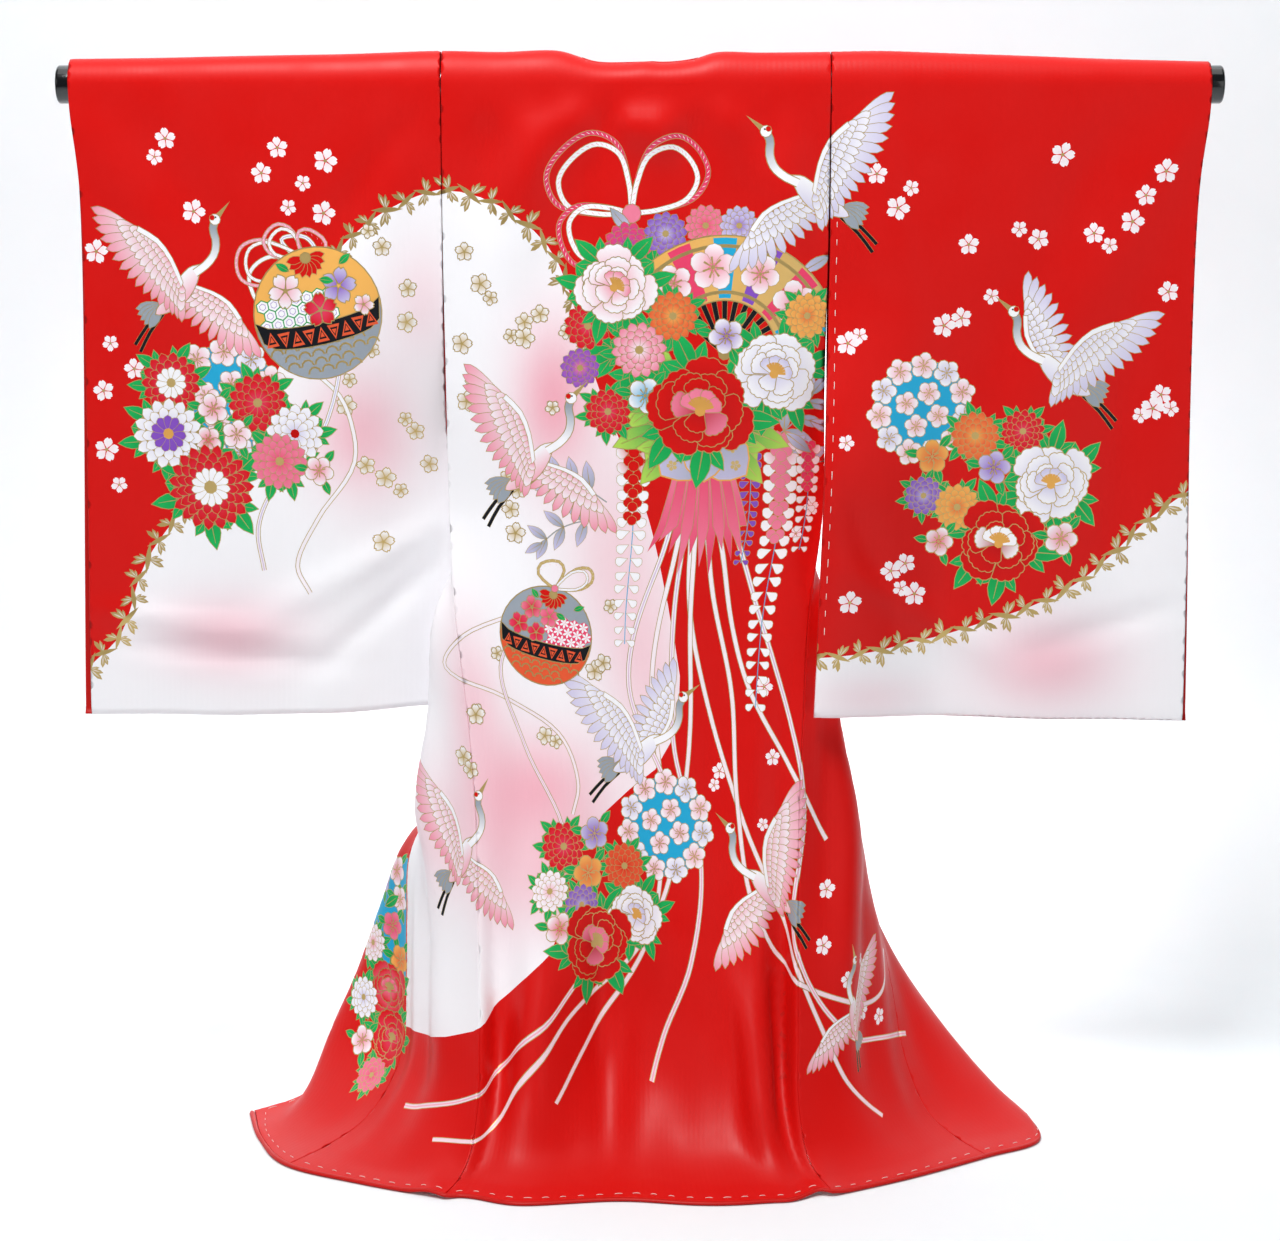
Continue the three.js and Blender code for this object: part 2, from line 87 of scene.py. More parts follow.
def curve(points, t):
    """Points at t, from 0 to 1, of the smooth curve through points."""
    p = np.asarray(points, float)
    p = np.vstack([2 * p[0] - p[1], p, 2 * p[-1] - p[-2]])
    spans = len(p) - 3
    x = np.clip(np.asarray(t, float) * spans, 0, spans - 1e-9)
    k = x.astype(int)
    w = (x - k)[:, None]
    p0, p1, p2, p3 = (p[k + i] for i in range(4))

    def step(a, b):
        return np.maximum(((a - b) ** 2).sum(-1, keepdims=True), 1e-12) ** 0.25

    d0, d1, d2 = step(p0, p1), step(p1, p2), step(p2, p3)
    leave = ((p1 - p0) / d0 - (p2 - p0) / (d0 + d1) + (p2 - p1) / d1) * d1
    arrive = ((p2 - p1) / d1 - (p3 - p1) / (d1 + d2) + (p3 - p2) / d2) * d1
    return (
        p1
        + leave * w
        + (-3 * p1 + 3 * p2 - 2 * leave - arrive) * w**2
        + (2 * p1 - 2 * p2 + leave + arrive) * w**3
    )


def unit(vectors):
    """The vectors, each one long."""
    return vectors / np.maximum(np.linalg.norm(vectors, axis=-1, keepdims=True), 1e-9)


def run_along(points):
    """How far along the line through the points each of them is."""
    return np.concatenate([[0], np.cumsum(np.linalg.norm(np.diff(points, axis=0), axis=1))])


def places_along(points, want):
    """Points at the wanted distances along a line."""
    length = run_along(points)
    return np.stack([np.interp(want, length, column) for column in np.transpose(points)], 1)


def round_turn(count):
    """Even angles of one whole turn."""
    return np.linspace(0, 2 * math.pi, count + 1)[:-1]


def circle(count):
    """Points round a circle of radius 1, from its right."""
    return np.stack([np.cos(round_turn(count)), np.sin(round_turn(count))], 1)


def signed_area(outline):
    x, y = outline.T
    return ((x * np.roll(y, -1)) - (np.roll(x, -1) * y)).sum() / 2


FINE = np.linspace(0, 1, 900)


def smooth_column(rows, by, out, value):
    """Column out of a table at value in column by, along a smooth curve."""
    line = curve(np.stack([rows[by], rows[out]], 1), FINE)
    if line[-1, 0] < line[0, 0]:
        line = line[::-1]
    return np.interp(value, np.maximum.accumulate(line[:, 0]), line[:, 1])


# ---- How the kimono hangs ------------------------------------------------------------------------
CREST = table(
    "x z",
    (-575, 24.2), (-490, 25.2), (-390, 27.4), (-290, 29.2), (-200, 32.2), (-140, 31.2), (-82, 32.4),
    (-60, 26.4), (-43, 21.8), (-12, 21.3), (5, 22.8), (20, 21.6), (38, 22.4), (58, 25.6), (77, 31),
    (120, 30.6), (190, 31.4), (240, 32.2), (320, 29.6), (370, 28), (460, 24.6), (575, 21.6),
)
# The body's lines at each height: the middle of the back, then outwards from it on each side.
BACK = table(
    "z y",
    (0, -20.6), (-165, -21), (-300, -22), (-430, -24), (-533, -30), (-640, -42), (-740, -60), (-800, -74),
    (-870, -92), (-940, -117), (-1000, -150), (-1045, -192), (-1062, -228), (HEM_Z, -268),
)
SECTION = "side_x side_y flank_x flank_y seam_x seam_y turn_x turn_y edge_x edge_y"
LEFT = table(
    SECTION,
    (-198, 0, -150, 20.6, -59, 20.6, -57, 20.6, -55, 20.6),
    (-198, 0, -150, 32, -60, 25, -58.5, 25.5, -57, 26),
    (-196.5, 0, -152, 50, -80, 38, -72, 41, -61, 37),
    (-195, 0, -155, 64, -90, 52, -80, 60, -66, 52),
    (-188, -28, -210, -6, -98, 66, -92, 88, -72, 72),
    (-175, -46, -220, -5, -132, 82, -118, 118, -90, 102),
    (-167, -66, -231, -12, -207, 86, -190, 134, -134, 140),
    (-165, -82, -212, -38, -243, 70, -252, 106, -190, 158),
    (-163, -105, -205, -55, -248, 58, -280, 110, -240, 162),
    (-161, -136, -207, -82, -248, 32, -305, 100, -276, 148),
    (-161, -172, -210, -116, -250, -18, -332, 66, -306, 112),
    (-168, -206, -236, -164, -280, -86, -351, 0, -334, 64),
    (-178, -228, -260, -186, -318, -128, -368, -44, -362, 34),
    (-189, -255, -273, -213, -351, -162, -388, -85, -408, 4),
)
RIGHT = table(
    SECTION,
    (190, 0, 145, 20.6, 59, 20.6, 57, 20.6, 55, 20.6),
    (189, 0, 143, 32, 60, 25, 58.5, 25.5, 57, 26),
    (187, 0, 144, 50, 76, 38, 69, 41, 60, 37),
    (187, 2, 148, 64, 86, 52, 77, 60, 64, 52),
    (172, -24, 196, -4, 90, 68, 84, 90, 70, 72),
    (166, -44, 206, -4, 122, 86, 108, 120, 84, 102),
    (162, -64, 224, -10, 197, 90, 182, 136, 128, 140),
    (161, -80, 231, -20, 227, 72, 214, 110, 172, 158),
    (160, -104, 222, -56, 252, 44, 247, 96, 218, 158),
    (159, -134, 218, -80, 266, 22, 285, 86, 262, 146),
    (158, -170, 222, -112, 276, -24, 331, 54, 308, 108),
    (165, -204, 238, -154, 297, -72, 377, -6, 358, 60),
    (175, -226, 260, -174, 324, -104, 404, -50, 386, 24),
    (186, -247, 268, -196, 349, -135, 408, -88, 404, 0),
)
SLIT = table("z gap", (-430, 0), (-300, 22), (-165, 32), (0, 2 * WRAP))
QUARTER = 0.56  # of the way out to the side seam, where the back is still flat
# Soft folds of the back: across runs from -1 to 1 between the side seams, and a positive depth is a ridge.
FOLDS = table(
    "across lean width depth start end",
    (-0.34, -0.25, 0.2, 4, -20, -420),
    (0.4, 0.25, 0.2, 4, -20, -420),
    (-0.86, 0, 0.16, -20, -720, -1050),
    (-0.5, -0.05, 0.2, 17, -640, -1066),
    (-0.12, 0.05, 0.22, -21, -700, -1052),
    (0.26, 0.1, 0.24, 14, -600, -1066),
    (0.66, 0.12, 0.12, 17, -760, -1062),
    (0.92, 0, 0.14, -22, -700, -1050),
)
ARCHES = table("x height reach", (-203, 4, 17), (176, 4, 16))
SLEEVES = {
    "left": {
        "inner": table("z x", (-640, -196), (-410, -191), (-345, -198), (34, -198)),
        "outer": table("z x", (-640, -566), (-110, -560), (-20, -568), (34, -569)),
        "bottom": table("across z", (0, -636), (0.6, -641), (1, -640)),
        "push": 33,
        "far": 7,
    },
    "right": {
        "inner": table("z x", (-640, 176), (-430, 184), (-300, 188), (-165, 190), (34, 190)),
        "outer": table("z x", (-640, 560), (-110, 559), (-20, 568), (34, 568)),
        "bottom": table("across z", (0, -635), (0.6, -645), (1, -647)),
        "push": -48,
        "far": 4,
    },
}
SLEEVE = {"waves": 2.6, "wave_depth": 2.2, "foot": 3.4, "push_from": -190, "push_to": -425,
    "push_reach": 0.36}


def over_rod(x, reach):
    """Cloth laid over the rod: reach is counted from the crest, positive down the far side."""
    x, reach = np.broadcast_arrays(np.asarray(x, float), np.asarray(reach, float))
    angle = reach / WRAP_ARC * math.pi / 2
    return np.stack([x, WRAP * np.sin(angle), smooth_column(CREST, "x", "z", x) * np.cos(angle)], -1)


def line_down(rows, station):
    """A line of the garment, as points that get lower."""
    line = curve(np.stack([rows[station + "_x"], rows[station + "_y"], BACK["z"]], 1), FINE)
    line[:, 2] = -np.maximum.accumulate(-line[:, 2])
    return line


def at_height(line, z):
    return np.array([np.interp(-z, -line[:, 2], line[:, k]) for k in (0, 1)])


MIDDLE = line_down({"m_x": np.full(len(BACK["z"]), -4.0), "m_y": BACK["y"]}, "m")
STATIONS = ("side", "flank", "seam", "turn", "edge")
LINES = {side: {s: line_down(rows, s) for s in STATIONS} for side, rows in (("left", LEFT), ("right", RIGHT))}


def fold_depth(across, z):
    """How far the back's soft folds stand back from its section at a height."""
    depth = np.zeros_like(across)
    for place, lean, width, most, start, end in zip(*FOLDS.values()):
        middle = place + lean * ease(z, start, end)
        fade = 1 - ease(z, mix(start, end, 0.75), min(end, start - 60) - 1)
        swell = ease(z, start, mix(start, end, 0.7))
        depth += most * bell(across - middle, width) * swell * (0.35 + 0.65 * fade)
    return depth


def arch(x, z):
    """How far the hem's two small arches lift off the floor."""
    lift = np.zeros_like(x)
    for place, height, reach in zip(*ARCHES.values()):
        lift += height * bell(x - place, reach) * ease(z, -1035, HEM_Z)
    return lift


def back_section(z, t):
    gap = np.interp(z, SLIT["z"], SLIT["gap"]) / 2
    ends = [at_height(LINES[side]["side"], z) - (0, gap) for side in SIGN]
    middle = at_height(MIDDLE, z)
    quarters = [np.array([mix(middle[0], e[0], QUARTER), mix(middle[1], e[1], 0.12)]) for e in ends]
    points = curve([ends[0], quarters[0], middle, quarters[1], ends[1]], t)
    across = 2 * t - 1
    points[:, 1] -= fold_depth(across, z) * (1 - ease(np.abs(across), 0.9, 1))
    return np.column_stack([points, z + arch(points[:, 0], z)])


def front_section(side, z, s):
    """Front and overlap: s is 0 at the side seam, 1 at the overlap's seam and 2 at the front edge."""
    stations = [at_height(LINES[side][name], z) for name in STATIONS]
    stations[0] = stations[0] + (0, np.interp(z, SLIT["z"], SLIT["gap"]) / 2)
    points = curve(stations, s / 2)
    return np.column_stack([points, z + arch(points[:, 0], z)])


def sleeve_rows(side, down):
    """Rows of a sleeve at each distance along its cloth, negative down the far side."""
    plan = SLEEVES[side]
    across = np.linspace(0, 1, 49)
    out = math.copysign(1, plan["outer"]["x"][0])
    bottom = smooth_column(plan["bottom"], "across", "z", across)
    rows = []
    for d in down:
        layer = 1 if d < 0 else -1
        hang = abs(d) - WRAP_ARC
        if hang <= 0:
            edge = [np.interp(0, plan["inner"]["z"], plan["inner"]["x"]) + out * 2 * SEAM,
                    smooth_column(plan["outer"], "z", "x", 0.0)]
            rows.append(over_rod(mix(edge[0], edge[1], across), -d))
            continue
        z = -hang * bottom / bottom.min()
        cuff = smooth_column(plan["outer"], "z", "x", z)
        cuff = cuff + out * (layer > 0) * plan["far"] * ease(z, 0, -110)
        inner = np.interp(z, plan["inner"]["z"], plan["inner"]["x"]) + out * 2 * SEAM
        foot = SLEEVE["foot"]
        half = mix(WRAP, foot, np.clip(z / bottom, 0, 1))
        half = half * np.sqrt(np.clip((z - bottom) / foot, 0, 1))
        push = plan["push"] * ease(z, SLEEVE["push_from"], SLEEVE["push_to"])
        push = push * (1 - ease(across, 0, SLEEVE["push_reach"]))
        wave = SLEEVE["wave_depth"] * np.sin(2 * math.pi * (SLEEVE["waves"] * across + 0.15))
        wave = wave * ease(z, -60, -420) * (0.4 + 0.6 * ease(across, 0, 0.3))
        rows.append(np.stack([mix(inner, cuff, across), layer * half + push + wave, z], -1))
    return np.array(rows)


# ---- Flat cuts and where they hang ---------------------------------------------------------------
def even(points, count):
    """The same section with its points evenly spaced along the cloth."""
    return places_along(points, np.linspace(0, run_along(points)[-1], count))


class Hang:
    """Where each spot of a flat cut hangs: a net of points, whose rows are at distances down, and whose
    row ends are at first and last across."""

    def __init__(self, down, rows, first, last, relief=None):
        self.down, self.net = np.asarray(down, float), np.asarray(rows)
        self.first, self.last = (np.broadcast_to(v, len(self.down)).astype(float) for v in (first, last))
        if relief:
            share = np.linspace(0, 1, self.net.shape[1])
            across = mix(self.first[:, None], self.last[:, None], share)
            spots = np.stack([across, np.repeat(self.down[:, None], len(share), 1)], -1).reshape(-1, 2)
            _, normal = self.lay(spots)
            self.net = self.net + (relief(*spots.T)[:, None] * normal).reshape(self.net.shape)

    def middle(self, spots):
        spots = np.asarray(spots, float)
        row = np.interp(spots[:, 1], self.down, np.arange(len(self.down)))
        first = np.interp(row, np.arange(len(self.down)), self.first)
        last = np.interp(row, np.arange(len(self.down)), self.last)
        column = (spots[:, 0] - first) / (last - first) * (self.net.shape[1] - 1)
        return self._look(row, np.clip(column, 0, self.net.shape[1] - 1))

    def _look(self, row, column):
        rows, columns = self.net.shape[:2]
        i = np.clip(row.astype(int), 0, rows - 2)
        j = np.clip(column.astype(int), 0, columns - 2)
        u, v = row - i, column - j

        def weights(t):
            return (
                ((-t + 2) * t - 1) * t / 2,
                ((3 * t - 5) * t * t + 2) / 2,
                ((-3 * t + 4) * t + 1) * t / 2,
                (t - 1) * t * t / 2,
            )

        total = np.zeros((len(row), 3))
        for di, wi in zip((-1, 0, 1, 2), weights(u)):
            for dj, wj in zip((-1, 0, 1, 2), weights(v)):
                total += (wi * wj)[:, None] * self._net_at(i + di, j + dj)
        return total

    def _net_at(self, i, j):
        """A point of the net; past an edge the net goes straight on."""
        rows, columns = self.net.shape[:2]
        ic, jc = np.clip(i, 0, rows - 1), np.clip(j, 0, columns - 1)
        point = self.net[ic, jc]
        for index, clipped, last, axis in ((i, ic, rows - 1, 0), (j, jc, columns - 1, 1)):
            past = index - clipped
            inner = np.clip(clipped - np.sign(past), 0, last)
            other = self.net[inner, jc] if axis == 0 else self.net[ic, inner]
            point = point + np.abs(past)[:, None] * (self.net[ic, jc] - other)
        return point

    def lay(self, spots):
        """Points and outward normals of the cloth's middle."""
        spots = np.asarray(spots, float)
        reach = 1.2
        ahead = [self.middle(spots + step) for step in ((reach, 0), (-reach, 0), (0, reach), (0, -reach))]
        return self.middle(spots), unit(np.cross(ahead[2] - ahead[3], ahead[0] - ahead[1]))


def creased(rows):
    """How far the cloth stands out at each spot: soft ridges, and troughs with a depth below nought,
    from spot to spot. Each row is across, down, across, down, width and depth."""

    def relief(across, down):
        height = np.zeros(len(across))
        for a1, d1, a2, d2, width, depth in rows:
            long = math.hypot(a2 - a1, d2 - d1)
            along = ((across - a1) * (a2 - a1) + (down - d1) * (d2 - d1)) / long**2
            aside = ((across - a1) * (d2 - d1) - (down - d1) * (a2 - a1)) / long
            spread = width * (1 + 0.5 * np.clip(along, 0, 1))
            fade = ease(along, -0.15, 0.3) * (1 - ease(along, 0.6, 1.15))
            height += depth * bell(aside, spread) * fade
        beside_seam = ease(np.abs(np.abs(across) - BOLT), 1, 15)
        return height * beside_seam * ease(np.abs(down), WRAP_ARC, WRAP_ARC + 45)

    return relief


BODY_CREASES = (
    # the hollow below the neck, and drag lines from it and from the shoulders
    (-22, 72, 44, 74, 24, 9.0), (-40, 30, -165, 190, 20, 4.8), (-20, 40, -90, 260, 24, -4.5),
    (70, 30, 170, 180, 18, 4.5), (40, 40, 100, 250, 24, -4.2), (-70, 34, -40, 110, 14, 3.0),
    (60, 34, 24, 110, 14, 3.2), (-104, 50, -116, 240, 20, 5.0), (-150, 60, -140, 190, 20, -4.0),
    (120, 60, 110, 190, 22, -3.6), (150, 70, 162, 200, 16, 3.4),
    # long soft falls down the back
    (-150, 180, -168, 520, 18, 2.6), (-112, 230, -130, 600, 20, -2.8), (-60, 300, -66, 640, 26, 2.2),
    (66, 280, 80, 620, 24, 2.4), (112, 220, 132, 600, 20, -2.8), (158, 240, 170, 560, 14, 2.2),
    (-176, 560, -166, 860, 16, 3.4), (-136, 620, -128, 900, 18, -3.4), (-84, 660, -78, 930, 22, 3.2),
    (-30, 640, -18, 900, 20, -2.8), (26, 660, 36, 980, 24, 3.2), (84, 640, 92, 900, 20, -2.6),
    (136, 660, 140, 900, 16, 3.0), (176, 620, 168, 860, 14, -2.6),
    # the foot of the skirt, where it turns on to the floor
    (-112, 930, -152, 1150, 17, 8.0), (-62, 960, -74, 1190, 20, -3.5), (-40, 900, -30, 1180, 16, -8.0),
    (6, 960, 2, 1190, 20, 3.5), (52, 940, 50, 1190, 20, -3.0), (100, 920, 156, 1150, 16, 8.5),
    (150, 920, 172, 1120, 9, -5.5),
    # the flanks
    (-236, 620, -232, 900, 16, -4.0), (-270, 760, -262, 1060, 16, 4.5), (-306, 820, -300, 1120, 14, -4.5),
    (-344, 860, -344, 1160, 14, 4.0), (-404, 880, -410, 1150, 16, -3.5), (230, 640, 226, 880, 14, -4.0),
    (262, 740, 256, 1040, 16, 4.5), (300, 800, 300, 1100, 14, -4.5), (342, 860, 350, 1150, 15, 4.0),
    (404, 860, 420, 1140, 16, -3.5),
)
SLEEVE_CREASES = {
    "left": (
        (-560, 60, -430, 300, 24, 2.6), (-500, 60, -350, 330, 26, -2.4), (-230, 50, -290, 330, 20, 3.0),
        (-212, 50, -330, 210, 16, -3.0), (-206, 480, -420, 590, 14, 4.5), (-204, 520, -360, 650, 11, -4.0),
        (-560, 566, -330, 594, 11, 4.5), (-540, 604, -280, 626, 9, -3.6), (-500, 300, -480, 560, 26, -2.4),
        (-400, 300, -410, 560, 24, 2.4), (-330, -60, -360, -500, 26, 2.4), (-470, -80, -460, -560, 24, -2.4),
    ),
    "right": (
        (556, 60, 440, 300, 24, 2.6), (480, 60, 360, 330, 26, -2.4), (230, 50, 290, 330, 20, 3.0),
        (210, 430, 300, 640, 14, -4.0), (206, 520, 420, 640, 14, 4.0), (560, 560, 380, 620, 12, -3.4),
        (500, 300, 480, 560, 26, -2.4), (400, 280, 396, 560, 24, 2.4), (330, -60, 360, -500, 26, 2.4),
        (470, -80, 460, -560, 24, -2.4),
    ),
}
BODY_Z = np.concatenate([np.linspace(0, -640, 81), np.linspace(-647, -1020, 60),
    np.linspace(-1024, HEM_Z, 25)])
BODY_DOWN = WRAP_ARC + np.interp(-BODY_Z, -MIDDLE[:, 2], run_along(MIDDLE[:, 1:]))
LENGTH = BODY_DOWN[-1]  # of the body, from the shoulder to the hem
ROUND = np.linspace(0, WRAP_ARC, 10)[:-1]  # down from the crest to the height of the axis


def body_hang(section, first, last, sign):
    """sign is -1 for the back, which goes over the rod towards us, and 1 for the fronts."""
    dense = np.linspace(0, 1, 161)
    rows = [even(section(z, dense), 97) for z in BODY_Z]
    top = [over_rod(rows[0][:, 0], sign * reach) for reach in ROUND]
    return Hang(np.concatenate([ROUND, BODY_DOWN]), top + rows, first, last, creased(BODY_CREASES))


def front_hang(side):
    sign = SIGN[side]
    return body_hang(lambda z, t: front_section(side, z, t), sign * BOLT, sign * (BOLT + FRONT_WIDTH), 1)


def overlap_hang(side):
    sign = SIGN[side]
    z = BODY_Z[BODY_Z < OVERLAP_TOP - 1]
    z = np.concatenate([[OVERLAP_TOP], z])
    dense = np.linspace(1, 2, 81)
    rows = [front_section(side, level, dense) for level in z]
    width = np.array([np.linalg.norm(np.diff(row, axis=0), axis=1).sum() for row in rows])
    down = np.interp(-z, -BODY_Z, BODY_DOWN)
    first = sign * (BOLT + FRONT_WIDTH)
    return Hang(down, [even(row, 45) for row in rows], first, first + sign * width, creased(BODY_CREASES))


def sleeve_hang(side):
    plan = SLEEVES[side]
    sign = SIGN[side]
    end = WRAP_ARC - plan["bottom"]["z"].min()
    hanging = np.concatenate([np.linspace(WRAP_ARC, end - 6, 60),
        end - np.array([4.6, 3.4, 2.4, 1.5, 0.8, 0.3, 0])])
    down = np.concatenate([-hanging[::-1], np.linspace(-WRAP_ARC, WRAP_ARC, 19)[1:-1], hanging])
    down[: len(hanging)] -= 1e-6
    return Hang(down, sleeve_rows(side, down), sign * BOLT, sign * (BOLT + SLEEVE_WIDTH),
                creased(SLEEVE_CREASES[side]))


HANGS = {
    "back": body_hang(back_section, -BOLT, BOLT, -1),
    **{"front_" + side: front_hang(side) for side in SIGN},
    **{"overlap_" + side: overlap_hang(side) for side in SIGN},
    **{"sleeve_" + side: sleeve_hang(side) for side in SIGN},
}
SLEEVE_DOWN = {side: HANGS["sleeve_" + side].down[-1] for side in SIGN}

# ---- Dyes ----------------------------------------------------------------------------------------


def linear(hexes):
    """An sRGB hex value as a linear colour."""
    levels = np.array([int(hexes[i : i + 2], 16) / 255 for i in (1, 3, 5)])
    return np.where(levels <= 0.04045, levels / 12.92, ((levels + 0.055) / 1.055) ** 2.4)


DYES = {
    name: linear(value)
    for name, value in {
        "scarlet": "#D40F0B",
        "deep red": "#B50C10",
        "white": "#F9F7FA",
        "petal": "#FBE1E7",
        "blush": "#F3A9BC",
        "dawn": "#F29BAE",
        "pink": "#EF7F9B",
        "rose": "#E8446B",
        "gold": "#CDB070",
        "green": "#119A4B",
        "leaf": "#1FB35A",
        "blue": "#25A6D2",
        "purple": "#8550BE",
        "lavender": "#CBC3E4",
        "orange": "#F3B45C",
        "vermilion": "#E65A35",
        "grey": "#9AA2AC",
        "black": "#14161C",
        "lime": "#B8DC5A",
    }.items()
}


class Dye:
    """One colour, or two that run into each other from one spot to another. gold is how much gold leaf
    it is."""

    def __init__(self, start, end=None, frm=(0, 0), to=(0, 1), gold=0.0):
        self.start, self.end = DYES[start], DYES[end or start]
        self.frm, self.to, self.gold = np.array(frm, float), np.array(to, float), gold

    def name_of(self, place):
        """What tells it from other dyes: its colour, or its place in the print where it runs."""
        return place if self.start is not self.end else (*self.start, self.gold)

    def at(self, spots):
        way = self.to - self.frm
        t = (spots - self.frm) @ way / (way @ way)
        colour = mix(self.start, self.end, np.clip(t, 0, 1)[:, None])
        return np.column_stack([colour, np.full(len(spots), self.gold)])


class Ground:
    """White silk with soft airbrushed clouds, or plain scarlet."""

    def __init__(self, colour, clouds=()):
        self.colour, self.clouds = DYES[colour], clouds

    def name_of(self, place):
        return place

    def at(self, spots):
        colour = np.repeat(self.colour[None, :], len(spots), 0)
        for name, across, down, wide, high, strength in self.clouds:
            spread = np.exp(-(((spots[:, 0] - across) / wide) ** 2) - ((spots[:, 1] - down) / high) ** 2)
            colour = mix(colour, DYES[name], (strength * spread)[:, None])
        return np.column_stack([colour, np.zeros(len(spots))])


# ---- Drawing the print ---------------------------------------------------------------------------
# A motif is drawn in its own frame, x across and y up, and set down on the cloth by a Spot.
GOLD = Dye("gold", gold=0.75)
RED = Dye("scarlet")
LINE = 0.9  # a line of gold leaf, drawn a little broader than the real 0.5 so that it shows


class Spot:
    """A place on the cloth with a turn, clockwise in degrees, and a size."""

    def __init__(self, across, down, turn=0, size=1.0, flip=False, basis=((1, 0), (0, -1))):
        t = math.radians(turn)
        rotation = np.array([[math.cos(t), math.sin(t)], [-math.sin(t), math.cos(t)]])
        self.origin = np.array([across, down], float)
        self.basis = np.array(basis) @ rotation @ np.diag([-size if flip else size, size])

    def __call__(self, points):
        return self.origin + np.atleast_2d(np.asarray(points, float)) @ self.basis.T

    def at(self, x, y, turn=0, size=1.0, flip=False):
        place = self((x, y))[0]
        return Spot(*place, turn, size, flip, self.basis)


def grown(outline, distance):
    """The outline moved out on all sides."""
    ahead, behind = np.roll(outline, -1, 0) - outline, outline - np.roll(outline, 1, 0)
    normals = []
    for step in (unit(ahead), unit(behind)):
        normals.append(np.stack([step[:, 1], -step[:, 0]], 1))
    out = normals[0] + normals[1]
    out /= np.maximum((out**2).sum(1, keepdims=True) / 2, 0.5)
    return outline + out * distance


def thinned(outline, slack=0.12):
    """The outline without the points that hardly bend it, so that the cut cloth stays light."""
    kept, k = list(outline), 0
    while k < len(kept) and len(kept) > 4:
        (x0, y0), (x, y), (x1, y1) = kept[k - 1], kept[k], kept[(k + 1) % len(kept)]
        if abs((x1 - x0) * (y - y0) - (y1 - y0) * (x - x0)) < slack * math.hypot(x1 - x0, y1 - y0):
            del kept[k]
        k += 1
    return np.array(kept)


class Print:
    """The shapes of a print, the first drawn lowest."""

    def __init__(self):
        self.shapes = []

    def fill(self, outline, dye, line=0.0, line_dye=GOLD):
        outline = thinned(np.asarray(outline, float))
        if signed_area(outline) < 0:
            outline = outline[::-1]
        if line:
            self.shapes.append((grown(outline, line), line_dye))
        self.shapes.append((outline, dye))

    def disc(self, spot, radius, dye, line=0.0, sides=14, line_dye=GOLD):
        self.fill(spot(radius * circle(sides)), dye, line, line_dye)

    def ribbon(self, points, width, dye, line=0.0, step=9.0, taper=False):
        """A strip of even width along a smooth curve through points on the cloth."""
        points = np.asarray(points, float)
        length = np.linalg.norm(np.diff(points, axis=0), axis=1).sum()
        share = np.linspace(0, 1, max(4, round(length / step)))
        middle = curve(points, share)
        ahead = np.gradient(middle, axis=0)
        side = unit(np.stack([-ahead[:, 1], ahead[:, 0]], 1))
        for extra, colour in ((line, GOLD), (0, dye)):
            if colour is GOLD and not line:
                continue
            half = (width / 2 + extra) * (np.sin(math.pi * mix(0.06, 0.94, share)) ** 0.5 if taper else 1)
            half = np.broadcast_to(half, len(share))[:, None]
            for k in range(0, len(share) - 1, 12):
                part = slice(k, min(k + 13, len(share)))
                one, other = (middle + side * half)[part], (middle - side * half)[part]
                self.fill(np.vstack([one, other[::-1]]), colour)


def petal(width, steps=4, blunt=0.75, notch=0.0, bulge=1.35):
    """A petal one unit long, from its base at the origin up to its tip."""
    t = np.linspace(0, 1, steps + 2)[1:-1] ** (1 / bulge)
    half = width / 2 * np.sin(math.pi * t**bulge) ** blunt
    tip = [(0.16 * width, 0.985), (0, 1 - notch), (-0.16 * width, 0.985)] if notch else [(0, 1)]
    return np.vstack([[(0, 0)], np.stack([half, t], 1), tip, np.stack([-half, t], 1)[::-1]])


def ruffled(width, lobes=4, depth=0.07):
    """A peony's petal: a broad fan with a ruffled edge."""
    side = math.atan(width / 2)
    angle = np.linspace(side, -side, lobes * 3 + 1)
    ruffle = depth * np.abs(np.cos(np.linspace(0, lobes * math.pi, len(angle))))
    reach = 1 - ruffle - 0.12 * (angle / side) ** 2
    edge = np.stack([reach * np.sin(angle), reach * np.cos(angle)], 1)
    return np.vstack([[(-0.1 * width, 0.05), (0.1 * width, 0.05)], edge])


def shade(spot, start, end, reach=1.0, gold=0.0):
    """A dye that runs from the spot to reach above it."""
    return Dye(start, end, spot((0, 0))[0], spot((0, reach))[0], gold)


def blossom(cloth, spot, start="white", end="blush", line=0.0, heart="gold"):
    """A cherry blossom of five notched petals, one unit from middle to tip."""
    for k in range(5):
        leaf = spot.at(0, 0, 72 * k, 1)
        base = leaf.at(0, 0.1, 0, 0.9)
        cloth.fill(base(petal(0.82, 3, 0.8, 0.14)), shade(leaf, end, start), line)
    cloth.disc(spot, 0.15, Dye(heart, gold=0.6), sides=6)


def plum(cloth, spot, start="white", end="blush", line=LINE, heart="gold"):
    """A plum blossom: five round petals about a ring of stamens."""
    for k in range(5):
        leaf = spot.at(0, 0, 72 * k + 12, 1)
        angle = round_turn(10)
        around = np.stack([0.42 * np.sin(angle), 0.58 + 0.42 * np.cos(angle)], 1)
        cloth.fill(leaf(around), shade(leaf, end, start), line)
    cloth.disc(spot, 0.2, Dye(end), sides=8)
    for k in range(7):
        stalk = spot.at(0, 0, 360 / 7 * k)
        cloth.fill(stalk([(-0.025, 0.1), (0.025, 0.1), (0.05, 0.46), (-0.05, 0.46)]), Dye(heart, gold=0.6))
    cloth.disc(spot, 0.1, Dye(heart, gold=0.6), sides=6)


